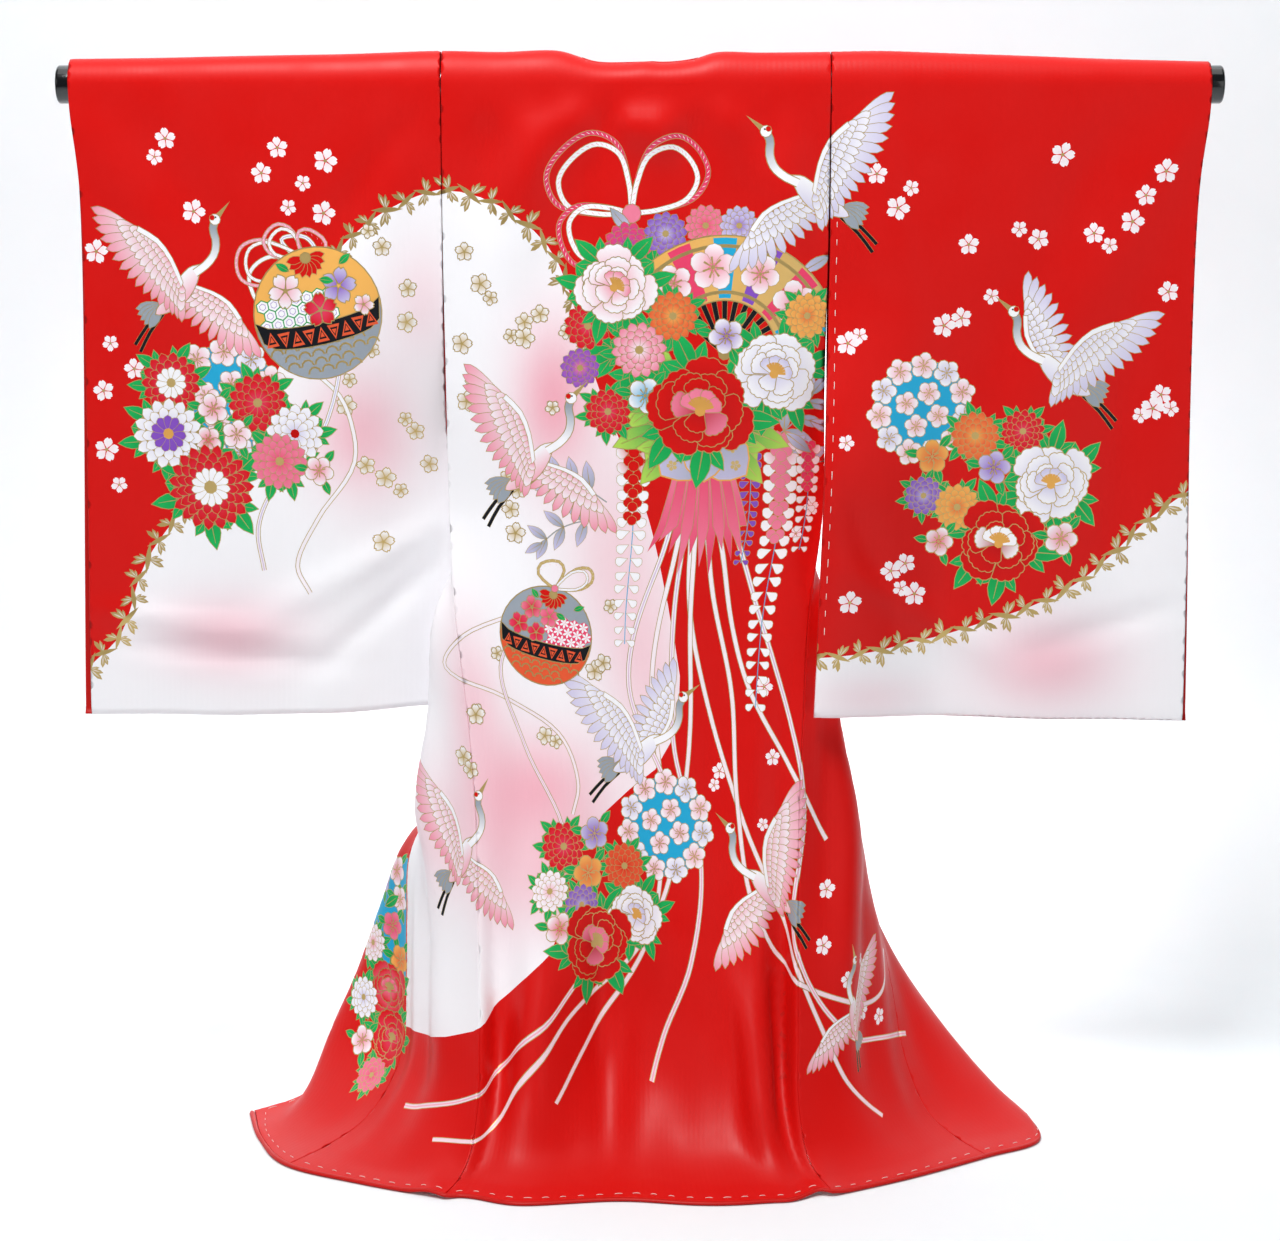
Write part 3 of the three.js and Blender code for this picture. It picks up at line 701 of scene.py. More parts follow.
def chrysanthemum(cloth, spot, tip="scarlet", base="rose", rings=3, petals=15, heart="gold", core=None):
    """A chrysanthemum: rings of narrow petals round a small heart, with gold between them; core is the
    dye of the innermost ring."""
    for ring in range(rings):
        reach = 1 - ring * 0.72 / rings
        count = petals - 2 * ring
        turned = spot.at(0, 0, 180 / count * (ring % 2) + 7 * ring, reach)
        lobes = round_turn(count * 4)
        edge = 0.93 - 0.04 * np.abs(np.sin(lobes * count / 2))
        cloth.fill(turned(np.stack([edge * np.sin(lobes), edge * np.cos(lobes)], 1)), GOLD)
        for k in range(count):
            leaf = turned.at(0, 0, 360 / count * k)
            dyes = (core, core) if core and ring == rings - 1 else (base, tip)
            cloth.fill(leaf(petal(4.7 / count, 4, 0.48, 0, 2.3)), shade(leaf, *dyes), 0.5)
    cloth.disc(spot, 0.16, Dye(heart, gold=0.4), sides=8)


def peony(cloth, spot, edge="white", deep="lavender", heart="orange", cup=None, line=LINE):
    """A peony: rings of ruffled petals, deep at the base, and an inner cup about gold stamens."""
    for ring, (count, reach, wide) in enumerate(((7, 1.0, 1.15), (6, 0.78, 1.2), (5, 0.55, 1.2))):
        for k in range(count):
            sway = math.sin(2.4 * k + 1.3 * ring + spot.origin[0])
            leaf = spot.at(0, 0, 360 / count * k + 25 * ring + 7 * sway, reach * (0.96 + 0.11 * sway))
            inner = cup if cup and ring == 2 and k % 2 else edge
            cloth.fill(leaf(ruffled(wide, 4 + k % 2)), shade(leaf, deep, inner, 0.95), line)
    for k in range(4):
        leaf = spot.at(0, -0.06, -60 + 40 * k, 0.42)
        cloth.fill(leaf(ruffled(0.9, 3)), shade(leaf, cup or edge, cup or deep, 1.0), line * 0.8)
    for k in range(9):
        stalk = spot.at(0, -0.05, -64 + 16 * k)
        cloth.fill(stalk([(-0.018, 0.05), (0.018, 0.05), (0.03, 0.25), (-0.03, 0.25)]), Dye(heart, gold=0.5))
    cloth.disc(spot.at(0, -0.06), 0.1, Dye(heart, gold=0.4), sides=8)


def leaf(cloth, spot, dye="green", tip="leaf", width=0.42, line=0.7):
    """A plain pointed leaf with its middle vein in gold."""
    t = np.linspace(0, 1, 6)[1:-1]
    half = width / 2 * np.sin(math.pi * t) ** 0.8
    edge = np.vstack([[(0, 0)], np.stack([half, t], 1), [(0, 1.04)], np.stack([-half, t], 1)[::-1]])
    cloth.fill(spot(edge), shade(spot, dye, tip), line)
    cloth.fill(spot([(-0.02, 0), (0.02, 0), (0.006, 0.86), (-0.006, 0.86)]), GOLD)


def lobed_leaf(cloth, spot, dye="green", tip="leaf"):
    """A peony's leaf, in three pointed lobes."""
    for turn, size in ((-44, 0.72), (44, 0.72), (0, 1)):
        leaf(cloth, spot.at(0, 0, turn, size), dye, tip, 0.44)


def leaves_round(cloth, spot, turns, size=1.0, dye="green", tip="leaf"):
    """Leaves that show from under a bloom, one at each turn."""
    for k, turn in enumerate(turns):
        lobed_leaf(cloth, spot.at(0, 0, turn).at(0, 0.62, 16 * (-1) ** k, size), dye, tip)


def wing(cloth, spot, tint, feathers=16):
    """A crane's open wing: long flight feathers, then three rows of short ones along the arm."""
    arm = np.array([(0, 0), (0.3, 0.3), (0.62, 0.5), (0.98, 0.56)])
    rows = ((0.7, 0.115, 0, 1), (0.44, 0.11, 0.02, 0.92), (0.27, 0.1, 0, 0.86), (0.14, 0.09, 0, 0.8))
    for row, (reach, wide, first, last) in enumerate(rows):
        share = np.linspace(last, first, feathers - row)
        for t, base in zip(share, curve(arm, share)):
            turn = mix(200, 88 - 8 * row, t**1.3)
            size = reach * (1 + 0.1 * math.sin(math.pi * t)) * (1 if row else mix(0.84, 1.16, t))
            feather = spot.at(*base, turn, size)
            cloth.fill(feather(petal(wide / reach * 1.15, 4, 0.5, 0, 2.0)),
                       shade(feather, tint if row else "white", "white" if row else tint, 1.1), LINE * 0.7)
    strip = curve(arm, np.linspace(0, 1, 7))
    cloth.fill(spot(np.vstack([strip + (0, 0.035), (strip - (0, 0.04))[::-1]])), Dye("white"), LINE * 0.7)


def crane(cloth, spot, tint="pink", near=50, far=108, both_up=False):
    """A flying crane that heads along x: legs trailing, and both wings swept back. near is the near
    wing's turn, and far is the far wing's, which is down, or up as well."""
    scale = np.linalg.norm(spot.basis[:, 0])
    for side in (-1, 1):
        leg = [(-0.4, -0.08 + 0.03 * side), (-0.75, -0.16 + 0.05 * side), (-1.08, -0.3 + 0.07 * side)]
        cloth.ribbon(spot(leg), 0.05 * scale, Dye("black"), 0.3)
    wing(cloth, spot.at(0.24, 0, far, 0.86, both_up), tint, 14)
    for turn in (-64, -76, -88, -100, -112):
        cloth.fill(spot.at(-0.3, 0.02, turn, 0.46)(petal(0.34, 3, 0.6)), Dye("grey"), LINE * 0.6)
    body = [(0.56, 0.16), (0.4, 0.22), (0.1, 0.17), (-0.25, 0.08), (-0.5, -0.04), (-0.3, -0.14),
        (0.05, -0.16), (0.38, -0.02), (0.56, 0.16)]
    breast = shade(spot.at(0, 0.2), "white", tint, -0.5)
    cloth.fill(spot(curve(body, np.linspace(0, 1, 23)[:-1])), breast, LINE)
    head = spot.at(0.46, 0.1)
    neck = head([(-0.04, 0), (0.2, 0.0), (0.4, 0.06), (0.54, 0.2), (0.62, 0.38), (0.72, 0.46)])
    cloth.ribbon(neck, 0.11 * scale, Dye("white", "grey", head((0.2, 0.1))[0], head((0.6, 0.4))[0]), LINE, 5)
    cloth.fill(head([(0.74, 0.53), (0.77, 0.43), (1.12, 0.56)]), Dye("gold", gold=0.5))
    cloth.disc(head.at(0.74, 0.48), 0.085, Dye("white"), LINE * 0.8, 10)
    cloth.disc(head.at(0.72, 0.53), 0.04, RED, 0.5, 7)
    cloth.disc(head.at(0.77, 0.5), 0.016, Dye("black"), 0, 5)
    wing(cloth, spot.at(0.14, 0.08, near, flip=True), tint)


def lattice(cloth, spot, sides, step, kind):
    """A patch of traditional lattice on a round ball: tortoiseshell hexagons, or circles that link as
    petals."""
    left, right, low, high = sides
    hexagon = circle(6)[:, ::-1]
    for row, y in enumerate(np.arange(low, high, step * 0.87)):
        for x in np.arange(left, right, step) + step / 2 * (row % 2):
            cell = spot.at(x, y, 0, step * 0.52)
            if math.hypot(x, y) > 0.9:
                continue
            if kind == "hexagons":
                cloth.fill(cell(hexagon), Dye("white"), 1.1, Dye("green"))
                cloth.fill(cell(hexagon * 0.5), Dye("white"), 0.5, Dye("purple"))
            else:
                cloth.fill(cell(hexagon * 1.12), Dye("rose"))
                for turn in (0, 60, 120, 180, 240, 300):
                    cloth.fill(cell.at(0, 0, turn, 1.05)(petal(0.42, 2)), Dye("white"))


def ball(cloth, spot, upper, lower, patch, belt_dye, flowers):
    """A round ball of cut silk: a patch of lattice and flowers above, then a zigzag belt, and waves
    below."""
    cloth.disc(spot, 1, Dye(upper), LINE * 1.4, 36)

    def bowed(x, height):
        """A line round the ball at a height, as a gentle bow."""
        return np.stack([x, height - 0.2 * np.sqrt(np.maximum(1 - x**2, 0)) + 0.08], 1)

    def belt(high, low, dye, line=0.0):
        sides = []
        for height in (high, low):
            reach = math.sqrt(max(1 - height**2, 0.02)) * 0.995
            sides.append(bowed(np.linspace(-1, 1, 13), height) * (reach, 1))
        cloth.fill(spot(np.vstack([sides[0], sides[1][::-1]])), dye, line)

    lattice(cloth, spot, *patch)
    angle = np.linspace(math.pi * 1.045, math.pi * 1.955, 22)
    low = np.stack([np.cos(angle), np.sin(angle)], 1)
    cloth.fill(spot(np.vstack([bowed(np.linspace(0.985, -0.985, 12), -0.1), low])), Dye(lower), LINE * 0.6)
    for row in range(4):
        height = -0.5 - 0.13 * row
        reach = math.sqrt(1 - height**2) - 0.1
        for x in np.arange(-reach, reach, 0.22) + (0.11 if row % 2 else 0):
            wave = spot.at(x, height, 0, 0.11)
            t = np.linspace(0, math.pi, 6)
            arc = np.stack([np.cos(t), np.sin(t)], 1)
            cloth.fill(wave(np.vstack([arc, arc[::-1] * 0.72])), GOLD)
    belt(-0.04, -0.36, Dye("black"), LINE)
    for k, x in enumerate(np.linspace(-0.8, 0.8, 9)):
        y = -0.21 - 0.2 * math.sqrt(1 - x * x) + 0.08
        up = (-1) ** k
        for size, dye in ((1, belt_dye), (0.62, "black"), (0.36, belt_dye)):
            cloth.fill(spot(np.array([(-0.1, -0.11 * up), (0.1, -0.11 * up),
                (0, 0.12 * up)]) * size + (x, y)), Dye(dye))
    for x, y, size, kind, colours in flowers:
        kind(cloth, spot.at(x, y, 50 * x, size), *colours)
    for x, y, turn in ((0.5, 0.66, 60), (-0.3, 0.72, -50), (0.14, 0.5, 110)):
        leaf(cloth, spot.at(x, y, turn, 0.22), "green", "leaf", 0.5, 0.5)
    cap = spot.at(0, 0.86)
    for k in range(9):
        cloth.fill(cap.at(0, 0, 90 + 22.5 * k, 0.3)(petal(0.4, 3)), Dye("scarlet"), 0.6)
    cloth.disc(cap, 0.08, Dye("gold", gold=0.5), 0.8, 8)


def cord(cloth, points, width, dye, mark):
    """A twisted cord: an edged strip with slanting marks along it."""
    cloth.ribbon(points, width, dye, 0.6, 6)
    length = np.linalg.norm(np.diff(points, axis=0), axis=1).sum()
    middle = curve(points, np.linspace(0, 1, max(4, int(length / 5.5))))
    ahead = unit(np.gradient(middle, axis=0))
    for place, along in zip(middle[1:-1], ahead[1:-1]):
        aside = np.array([-along[1], along[0]])
        slant = along * 0.42 + aside * 0.36
        cloth.fill([place - slant * width, place - along * width * 0.12, place + slant * width,
                    place + along * width * 0.12], mark)


def bow(cloth, spot, width, turns=((-44, 1.0, 0.46), (50, 0.98, 0.36), (-112, 0.82, 0.34)),
        outer=("pink", "rose")):
    """A cord tied in a bow, each loop of two strands; turns hold each loop's turn, reach and breadth."""
    for turn, reach, wide in turns:
        for grow, dye, mark in ((1.0, Dye(*outer), Dye("white")), (0.86, Dye("white"), Dye("blush"))):
            loop = np.array([(0, 0), (-0.3, 0.3), (-0.5, 0.66), (-0.34, 0.94), (0, 1), (0.36, 0.9),
                (0.48, 0.62), (0.28, 0.28), (0, 0)])
            loop = loop * (2 * wide * grow, reach * grow)
            cord(cloth, spot.at(0, 0, turn)(loop), width, dye, mark)
    cloth.disc(spot, 0.1, Dye("white", "pink"), 0.7, 9)


def wisteria(cloth, spot, length, start, end, full=0.45, step=0.78):
    """A hanging raceme: drops in pairs down a thin stalk, over full florets as far as full; spot's unit
    is half its width."""
    cloth.ribbon(spot([(0, 0.3), (0.1, -length / 2), (0, -length - 0.2)]), 0.9, Dye("purple", "blue"))
    count = int(length / step)
    for k in range(count, -1, -1):
        t = k / count
        size = 1.0 - 0.42 * t
        for side in (-1, 1):
            drop = spot.at(side * 0.1, -length * t, side * (112 + 8 * (k % 2)), size)
            cloth.fill(drop(petal(0.7, 4, 0.6, 0, 2.2)), shade(drop, end if t < 0.08 else start, start), 0.5)
        if t < full:
            for x, y in ((-0.3, 0.1), (0.3, 0.1), (0, -0.2)):
                cloth.disc(spot.at(x * size, -length * t + y * size), 0.33 * size, Dye(end), 0.5, 9)


def spray(cloth, spot, pairs=4, dye="grey", tip="lavender"):
    """A curved twig with leaves in pairs, one unit long."""
    twig = np.array([(0, 0), (0.06, 0.35), (0.02, 0.7), (-0.12, 1)])
    cloth.ribbon(spot(twig), 1.0, Dye(dye), 0.2, 5)
    for k, (x, y) in enumerate(curve(twig, np.linspace(0.25, 0.9, pairs))):
        for side in (-1, 1):
            leaf(cloth, spot.at(x, y, side * (58 - 5 * k), 0.4 - 0.03 * k), dye, tip, 0.4, 0.5)
    leaf(cloth, spot.at(-0.12, 1, -16, 0.3), dye, tip, 0.4, 0.5)


def tassel(cloth, spot, strips=11):
    """A silk tassel, one unit long: strips that flare and part, under a grey calyx edged with gold."""
    for k in [*range(0, strips, 2), *range(1, strips, 2)]:
        x = mix(-1, 1, k / (strips - 1))
        foot = (x * 0.5, -1 - 0.12 * math.cos(2.2 * k) + 0.26 * x * x)
        strip = [(x * 0.2 - 0.035, 0), (x * 0.2 + 0.035, 0), (x * 0.36 + 0.05, -0.62), foot,
            (x * 0.36 - 0.05, -0.62)]
        dyes = ("rose", "pink") if k % 2 else ("pink", "rose")
        cloth.fill(spot(strip), shade(spot, *dyes, -1), 0.6)
    for turn, reach in ((132, 0.52), (228, 0.52), (180, 0.4)):
        scale = spot.at(0, 0.2, turn, reach)
        slanting = Dye("grey", "lavender", scale((-0.3, 0))[0], scale((0.4, 1))[0])
        cloth.fill(scale(petal(0.86, 5, 0.8, 0, 1.1)), slanting, 1.6, Dye("orange", gold=0.3))
        for x, y in ((0, 0.75), (-0.2, 0.5), (0.2, 0.5)):
            blossom(cloth, scale.at(x, y, 40, 0.1), "gold", "gold")


def gold_birds(cloth, line, spacing=22, size=15):
    """A chain of small gold plovers along a line: each a body with a tail and two feathered wings."""
    fine = curve(line, np.linspace(0, 1, 400))
    length = run_along(fine)
    for k, place in enumerate(np.arange(spacing / 2, length[-1], spacing)):
        i = min(int(np.searchsorted(length, place)), 398)
        ahead = fine[i + 1] - fine[i]
        turn = math.degrees(math.atan2(ahead[0], -ahead[1])) + (26 if k % 2 else -22)
        bird = Spot(*fine[i], turn, size * (1.0 if k % 3 else 1.15))
        cloth.fill(bird([(0, -0.95), (0.12, -0.4), (0.17, 0.1), (0.13, 0.45), (0.02, 0.98), (-0.12, 0.45),
                         (-0.17, 0.1), (-0.12, -0.4)]), GOLD)
        for side in (-1, 1):
            for turn, reach in ((118, 0.6), (94, 0.86), (70, 1.0)):
                plume = bird.at(side * 0.05, 0.12, side * turn, reach)
                cloth.fill(plume(petal(0.3, 2)), GOLD)
                cloth.fill(plume(petal(0.12, 2) * 0.72 + (0, 0.12)), shade(plume, "white", "gold"))


def fan(cloth, spot, leaf_dye=("orange", "gold"), spread=66):
    """An open folding fan: its ribs below, its leaf above with clouds and blossoms."""
    turns = np.linspace(-spread, spread, 23)

    def arc(radius, part=slice(None)):
        t = np.radians(turns[part])
        return radius * np.stack([np.sin(t), np.cos(t)], 1)

    for turn in turns[1:-1:2]:
        cloth.fill(spot.at(0, 0, turn)([(-0.014, 0.06), (0.014, 0.06), (0.022, 0.5), (-0.022, 0.5)]),
            Dye("black"), 0.4)
    cloth.fill(spot(np.vstack([arc(1), arc(0.46)[::-1]])),
               Dye(*leaf_dye, spot((-0.9, 0.4))[0], spot((0.8, 0.6))[0]), LINE * 1.3)
    for k in range(0, 22, 4):
        part = slice(k, k + 3)
        cloth.fill(spot(np.vstack([arc(0.985, part), arc(0.475, part)[::-1]])),
                   Dye(("purple", "rose", "blue")[(k // 4) % 3]), 0)
    for radius in (0.93, 0.54):
        cloth.fill(spot(np.vstack([arc(radius), arc(radius - 0.03)[::-1]])), GOLD)
    for turn, size in ((-48, 0.16), (-20, 0.2), (12, 0.17), (42, 0.19)):
        plum(cloth, spot.at(0, 0).at(0, 0, turn).at(0, 0.74, 0, size), "white", "pink", 0.5)
    cloth.disc(spot, 0.05, GOLD, 0.5, 8)


# ---- Cutting a panel with its print --------------------------------------------------------------


def in_outline(spots, outline):
    """Which spots are inside a closed outline."""
    inside = np.zeros(len(spots), bool)
    x, y = spots.T
    for (x0, y0), (x1, y1) in zip(outline, np.roll(outline, -1, 0)):
        if y0 != y1:
            crosses = ((y0 > y) != (y1 > y)) & (x < (x1 - x0) * (y - y0) / (y1 - y0) + x0)
            inside ^= crosses
    return inside


def split_edges(outline, spacing):
    """The outline with points no farther apart than spacing."""
    points = []
    for a, b in zip(outline, np.roll(outline, -1, 0)):
        count = max(1, math.ceil(np.linalg.norm(b - a) / spacing))
        points.extend(a + (b - a) * k / count for k in range(count))
    return np.array(points)


def nearest_edge(spots, outline):
    """How far each spot is from an outline that runs anticlockwise, and the way out there."""
    nearest, way = np.full(len(spots), np.inf), np.zeros((len(spots), 2))
    for a, b in zip(outline, np.roll(outline, -1, 0)):
        side = b - a
        length = np.linalg.norm(side)
        if length < 1e-6:
            continue
        along = np.clip((spots - a) @ side / length**2, 0, 1)
        gap = np.linalg.norm(a + along[:, None] * side - spots, axis=1)
        closer = gap < nearest
        nearest[closer] = gap[closer]
        way[closer] = (side[1] / length, -side[0] / length)
    return nearest, way


def with_turned_edges(hang, outline):
    """Lays spots as the hang does, and gives the half thickness there and how the face leans to a
    turned edge."""

    def lay(spots):
        middle, normal = hang.lay(spots)
        gap, way = nearest_edge(spots, outline)
        outward = unit(hang.middle(spots + way) - middle)
        x = np.clip(1 - gap / EDGE_ROUND, 0, 0.97)
        half = CLOTH / 2 * np.sqrt(1 - x**2)
        lean = np.arctan2(x * CLOTH / 2, np.sqrt(1 - x**2) * EDGE_ROUND)
        return middle, normal, half[:, None], np.cos(lean)[:, None], np.sin(lean)[:, None] * outward

    return lay


def turned_up(spots, triangles):
    """The triangles, all anticlockwise, and their areas."""
    triangles = np.array(triangles)
    first, second = (spots[triangles[:, k]] - spots[triangles[:, 0]] for k in (1, 2))
    area = (first[:, 0] * second[:, 1] - first[:, 1] * second[:, 0]) / 2
    triangles[area < 0] = triangles[area < 0][:, ::-1]
    return triangles, np.abs(area)


def sides_of(triangles):
    """The directed sides of triangles, and which triangle is on the left of each."""
    sides = np.vstack([triangles[:, [0, 1]], triangles[:, [1, 2]], triangles[:, [2, 0]]])
    return sides, np.tile(np.arange(len(triangles)), 3)


def lines_seen(spots, triangles, looks, slack=0.05):
    """The sides where the look changes, with the looks on their left and right; straight runs are one
    line."""
    sides, of = sides_of(triangles)
    code = np.sort(sides, 1) @ (len(spots), 1)
    edges, index = np.unique(code, return_inverse=True)
    forward = sides[:, 0] < sides[:, 1]
    left, right = np.full((2, len(edges)), -1)
    left[index[forward]], right[index[~forward]] = looks[of[forward]], looks[of[~forward]]
    chosen = left != right
    ends = np.stack([edges // len(spots), edges % len(spots)], 1)[chosen]
    left, right = left[chosen], right[chosen]
    fixed = np.bincount(ends.ravel(), minlength=len(spots)) != 2
    fixed[ends[(left < 0) | (right < 0)]] = True
    held = [[] for _ in spots]
    for k, pair in enumerate(ends):
        for spot in pair:
            held[spot].append(k)
    kept = np.ones(len(ends), bool)
    for spot in np.flatnonzero(~fixed):
        stays, goes = held[spot]
        a, b = ends[stays].sum() - spot, ends[goes].sum() - spot
        (x, y), (wide, tall) = spots[spot] - spots[a], spots[b] - spots[a]
        span = math.hypot(wide, tall)
        if a == b or abs(wide * y - tall * x) > slack * span or not 0 < wide * x + tall * y < span**2:
            continue
        ends[stays][ends[stays] == spot] = b
        held[b] = [stays if k == goes else k for k in held[b]]
        kept[goes] = False
    return ends[kept], left[kept], right[kept]


def short_lines(spots, lines, left, right, longest):
    """The points of the lines, and the lines in parts no longer than longest, so that they lie down on
    the cloth."""
    used = np.unique(lines)
    points, parts = list(spots[used]), []
    counts = np.ceil(np.linalg.norm(spots[lines[:, 1]] - spots[lines[:, 0]], axis=1) / longest).astype(int)
    counts = np.maximum(counts, 1)
    for (a, b), count in zip(np.searchsorted(used, lines), counts):
        chain = [a, *range(len(points), len(points) + count - 1), b]
        points.extend(mix(points[a], points[b], k / count) for k in range(1, count))
        parts.extend(zip(chain, chain[1:]))
    return np.array(points), np.array(parts), np.repeat(left, counts), np.repeat(right, counts)


def looks_between(spots, triangles, edges, origins, ways, left, right):
    """The look of each triangle: from the line on its side, or else from its neighbours."""
    sides, of = sides_of(triangles)
    code = sides @ (len(spots), 1)
    order = np.argsort(code)
    code, of = code[order], of[order]
    looks = np.full(len(triangles), -2)
    lined = np.array([k for k, origin in enumerate(origins) if origin])
    source = np.array([origins[k][0] for k in lined])
    a, b = np.array(edges)[lined].T
    along = ((spots[b] - spots[a]) * ways[source]).sum(1) > 0
    walls = np.concatenate([a * len(spots) + b, b * len(spots) + a])
    left, right = left[source], right[source]
    seen = np.concatenate([np.where(along, left, right), np.where(along, right, left)])
    place = np.minimum(np.searchsorted(code, walls), len(code) - 1)
    met = code[place] == walls
    looks[of[place[met]]] = seen[met]
    twin = (code % len(spots)) * len(spots) + code // len(spots)
    place = np.minimum(np.searchsorted(code, twin), len(code) - 1)
    open_side = (code[place] == twin) & ~np.isin(code, walls)
    here, there = of[open_side], of[place[open_side]]
    while True:
        new = (looks[here] == -2) & (looks[there] != -2)
        if not new.any():
            return looks
        looks[here[new]] = looks[there[new]]


def cut_panel(outline, spacing, shapes=(), finer_rows=()):
    """Triangles of a flat panel with what shows of each printed shape cut into it, and a colour for
    each corner."""
    low, high = outline.min(0), outline.max(0)
    rows = np.unique(np.concatenate([np.arange(low[1] + spacing / 2, high[1], spacing * 0.87), finer_rows]))
    grid = np.array([
        (x, y)
        for k, y in enumerate(rows)
        for x in np.arange(low[0] + spacing * (0.5 if k % 2 else 0.98), high[0] - spacing * 0.3, spacing)
    ])
    inset = [grown(outline, -EDGE_ROUND * share) for share in (0.2, 0.55, 1.1)]
    grid = np.vstack([grid, *inset])
    grid = grid[in_outline(grid, outline)]
    near = [s for s in shapes if (s[0].max(0) > low).all() and (s[0].min(0) < high).all()]
    vertices, faces = [Vector(p) for p in outline], [list(range(len(outline)))]
    for shape, _ in near:
        faces.append(list(range(len(vertices), len(vertices) + len(shape))))
        vertices.extend(Vector(p) for p in shape)
    spots, _, triangles, _, _, owners = delaunay_2d_cdt(vertices, [], faces, 0, 1e-3, True)
    spots = np.array([tuple(p) for p in spots])
    triangles, area = turned_up(spots, triangles)
    covered = np.zeros(len(faces))
    for owned, size in zip(owners, area):
        covered[owned] += size
    # a shape too thin for the cutting would spread over the whole panel, so it is left out
    spilled = {k for k, (shape, _) in enumerate(near, 1) if covered[k] > 1.3 * signed_area(shape) + 2}
    alike = {}
    look = [0] + [alike.setdefault(dye.name_of(k), k) for k, (_, dye) in enumerate(near, 1)]
    topmost = np.array([look[max(set(o) - spilled)] if 0 in o else -1 for o in owners])
    lines, left, right = lines_seen(spots, triangles[topmost >= 0], topmost[topmost >= 0])
    points, lines, left, right = short_lines(spots, lines, left, right, spacing)
    ways = points[lines[:, 1]] - points[lines[:, 0]]
    vertices = [Vector(p) for p in np.vstack([points, grid])]
    spots, edges, triangles, _, origins, _ = delaunay_2d_cdt(vertices, lines.tolist(), [], 0, 1e-3, True)
    spots = np.array([tuple(p) for p in spots])
    triangles, _ = turned_up(spots, triangles)
    topmost = looks_between(spots, triangles, edges, origins, ways, left, right)
    triangles, topmost = triangles[topmost >= 0], topmost[topmost >= 0]
    colours = np.zeros((len(triangles), 3, 4))
    for owner in np.unique(topmost):
        chosen = topmost == owner
        dye = near[owner - 1][1] if owner else Dye("scarlet")
        colours[chosen] = dye.at(spots[triangles[chosen]].reshape(-1, 2)).reshape(-1, 3, 4)
    return spots, triangles, colours


def edges_round(triangles):
    """The directed edges of triangles that have no neighbour."""
    sides = np.vstack([triangles[:, [0, 1]], triangles[:, [1, 2]], triangles[:, [2, 0]]])
    _, index, times = np.unique(np.sort(sides, 1), axis=0, return_index=True, return_counts=True)
    return sides[index[times == 1]], index[times == 1] % len(triangles)


def loop_of(edges):
    """The points of the edges, in order round the panel."""
    after = dict(edges.tolist())
    loop = [edges[0, 0]]
    while after[loop[-1]] != loop[0]:
        loop.append(after[loop[-1]])
    return np.array(loop)


def make_mesh(name, points, faces, normals=None, materials=(), material_of=None, colours=None, flat=None):
    """points in millimetres; normals and colours have an entry for each corner of each face."""
    mesh = bpy.data.meshes.new(name)
    faces = np.asarray(faces)
    mesh.vertices.add(len(points))
    mesh.vertices.foreach_set("co", (np.asarray(points, float) * MM).ravel())
    mesh.loops.add(faces.size)
    mesh.loops.foreach_set("vertex_index", faces.ravel().astype(np.int32))
    mesh.polygons.add(len(faces))
    mesh.polygons.foreach_set("loop_start", np.arange(0, faces.size, faces.shape[1], dtype=np.int32))
    for material in materials:
        mesh.materials.append(material)
    if material_of is not None:
        mesh.polygons.foreach_set("material_index", np.asarray(material_of, np.int32))
    mesh.update(calc_edges=True)
    mesh.polygons.foreach_set("use_smooth", np.ones(len(faces), bool))
    if colours is not None:
        dye = mesh.color_attributes.new("dye", "FLOAT_COLOR", "CORNER")
        dye.data.foreach_set("color", np.asarray(colours, np.float32).ravel())
    if flat is not None:
        mesh.uv_layers.new(name="cut").uv.foreach_set("vector", (flat * MM).ravel())
    if normals is not None:
        held = mesh.attributes.new("custom_normal", "FLOAT_VECTOR", "CORNER")
        held.data.foreach_set("vector", np.asarray(normals, np.float32).ravel())
    piece = bpy.data.objects.new(name, mesh)
    bpy.context.scene.collection.objects.link(piece)
    return piece


def plain(colour, count):
    return np.tile([*DYES[colour], 0], (count, 3, 1)).astype(float)


def cloth_wall(name, face, lining, lay):
    """A closed wall of cloth: the printed face, the lining, and the folded edge between them. face and
    lining are each (spots, triangles, colours) and share the points of their edge; lay is as
    with_turned_edges gives it."""
    spots, triangles, colours = face
    middle, normal, half, upright, lean = lay(spots)
    in_spots, in_triangles, _ = lining
    in_middle, in_normal, in_half, in_upright, in_lean = lay(in_spots)
    points = np.vstack([middle + normal * half, in_middle - in_normal * in_half])
    flat = np.vstack([spots, in_spots])
    edges, owner = edges_round(triangles)
    in_edge = np.unique(edges_round(in_triangles)[0])
    partner = {tuple(np.round(in_spots[k], 2)): k + len(spots) for k in in_edge}
    a, b = edges[:, ::-1].T
    inner_a, inner_b = (np.array([partner[tuple(np.round(spots[k], 2))] for k in ends]) for ends in (a, b))
    rim = np.vstack([np.stack([b, a, inner_a], 1), np.stack([b, inner_a, inner_b], 1)])
    corners = points[rim]
    rim_normal = unit(np.cross(corners[:, 1] - corners[:, 0], corners[:, 2] - corners[:, 0]))
    outer, inner = triangles[:, ::-1], in_triangles + len(spots)
    faces = np.vstack([outer, inner, rim])
    shown, in_shown = normal * upright + lean, in_lean - in_normal * in_upright
    normals = np.vstack([
        shown[outer].reshape(-1, 3), in_shown[in_triangles].reshape(-1, 3), np.repeat(rim_normal, 3, 0)])
    dyes = np.vstack([
        colours[:, ::-1], plain("scarlet", len(inner)), np.tile(colours[owner, :1], (2, 3, 1))])
    return make_mesh(name, points, faces, normals, (PRINTED_SILK, RED_LINING),
                     np.repeat([0, 1, 0], [len(outer), len(inner), len(rim)]), dyes, flat[faces])


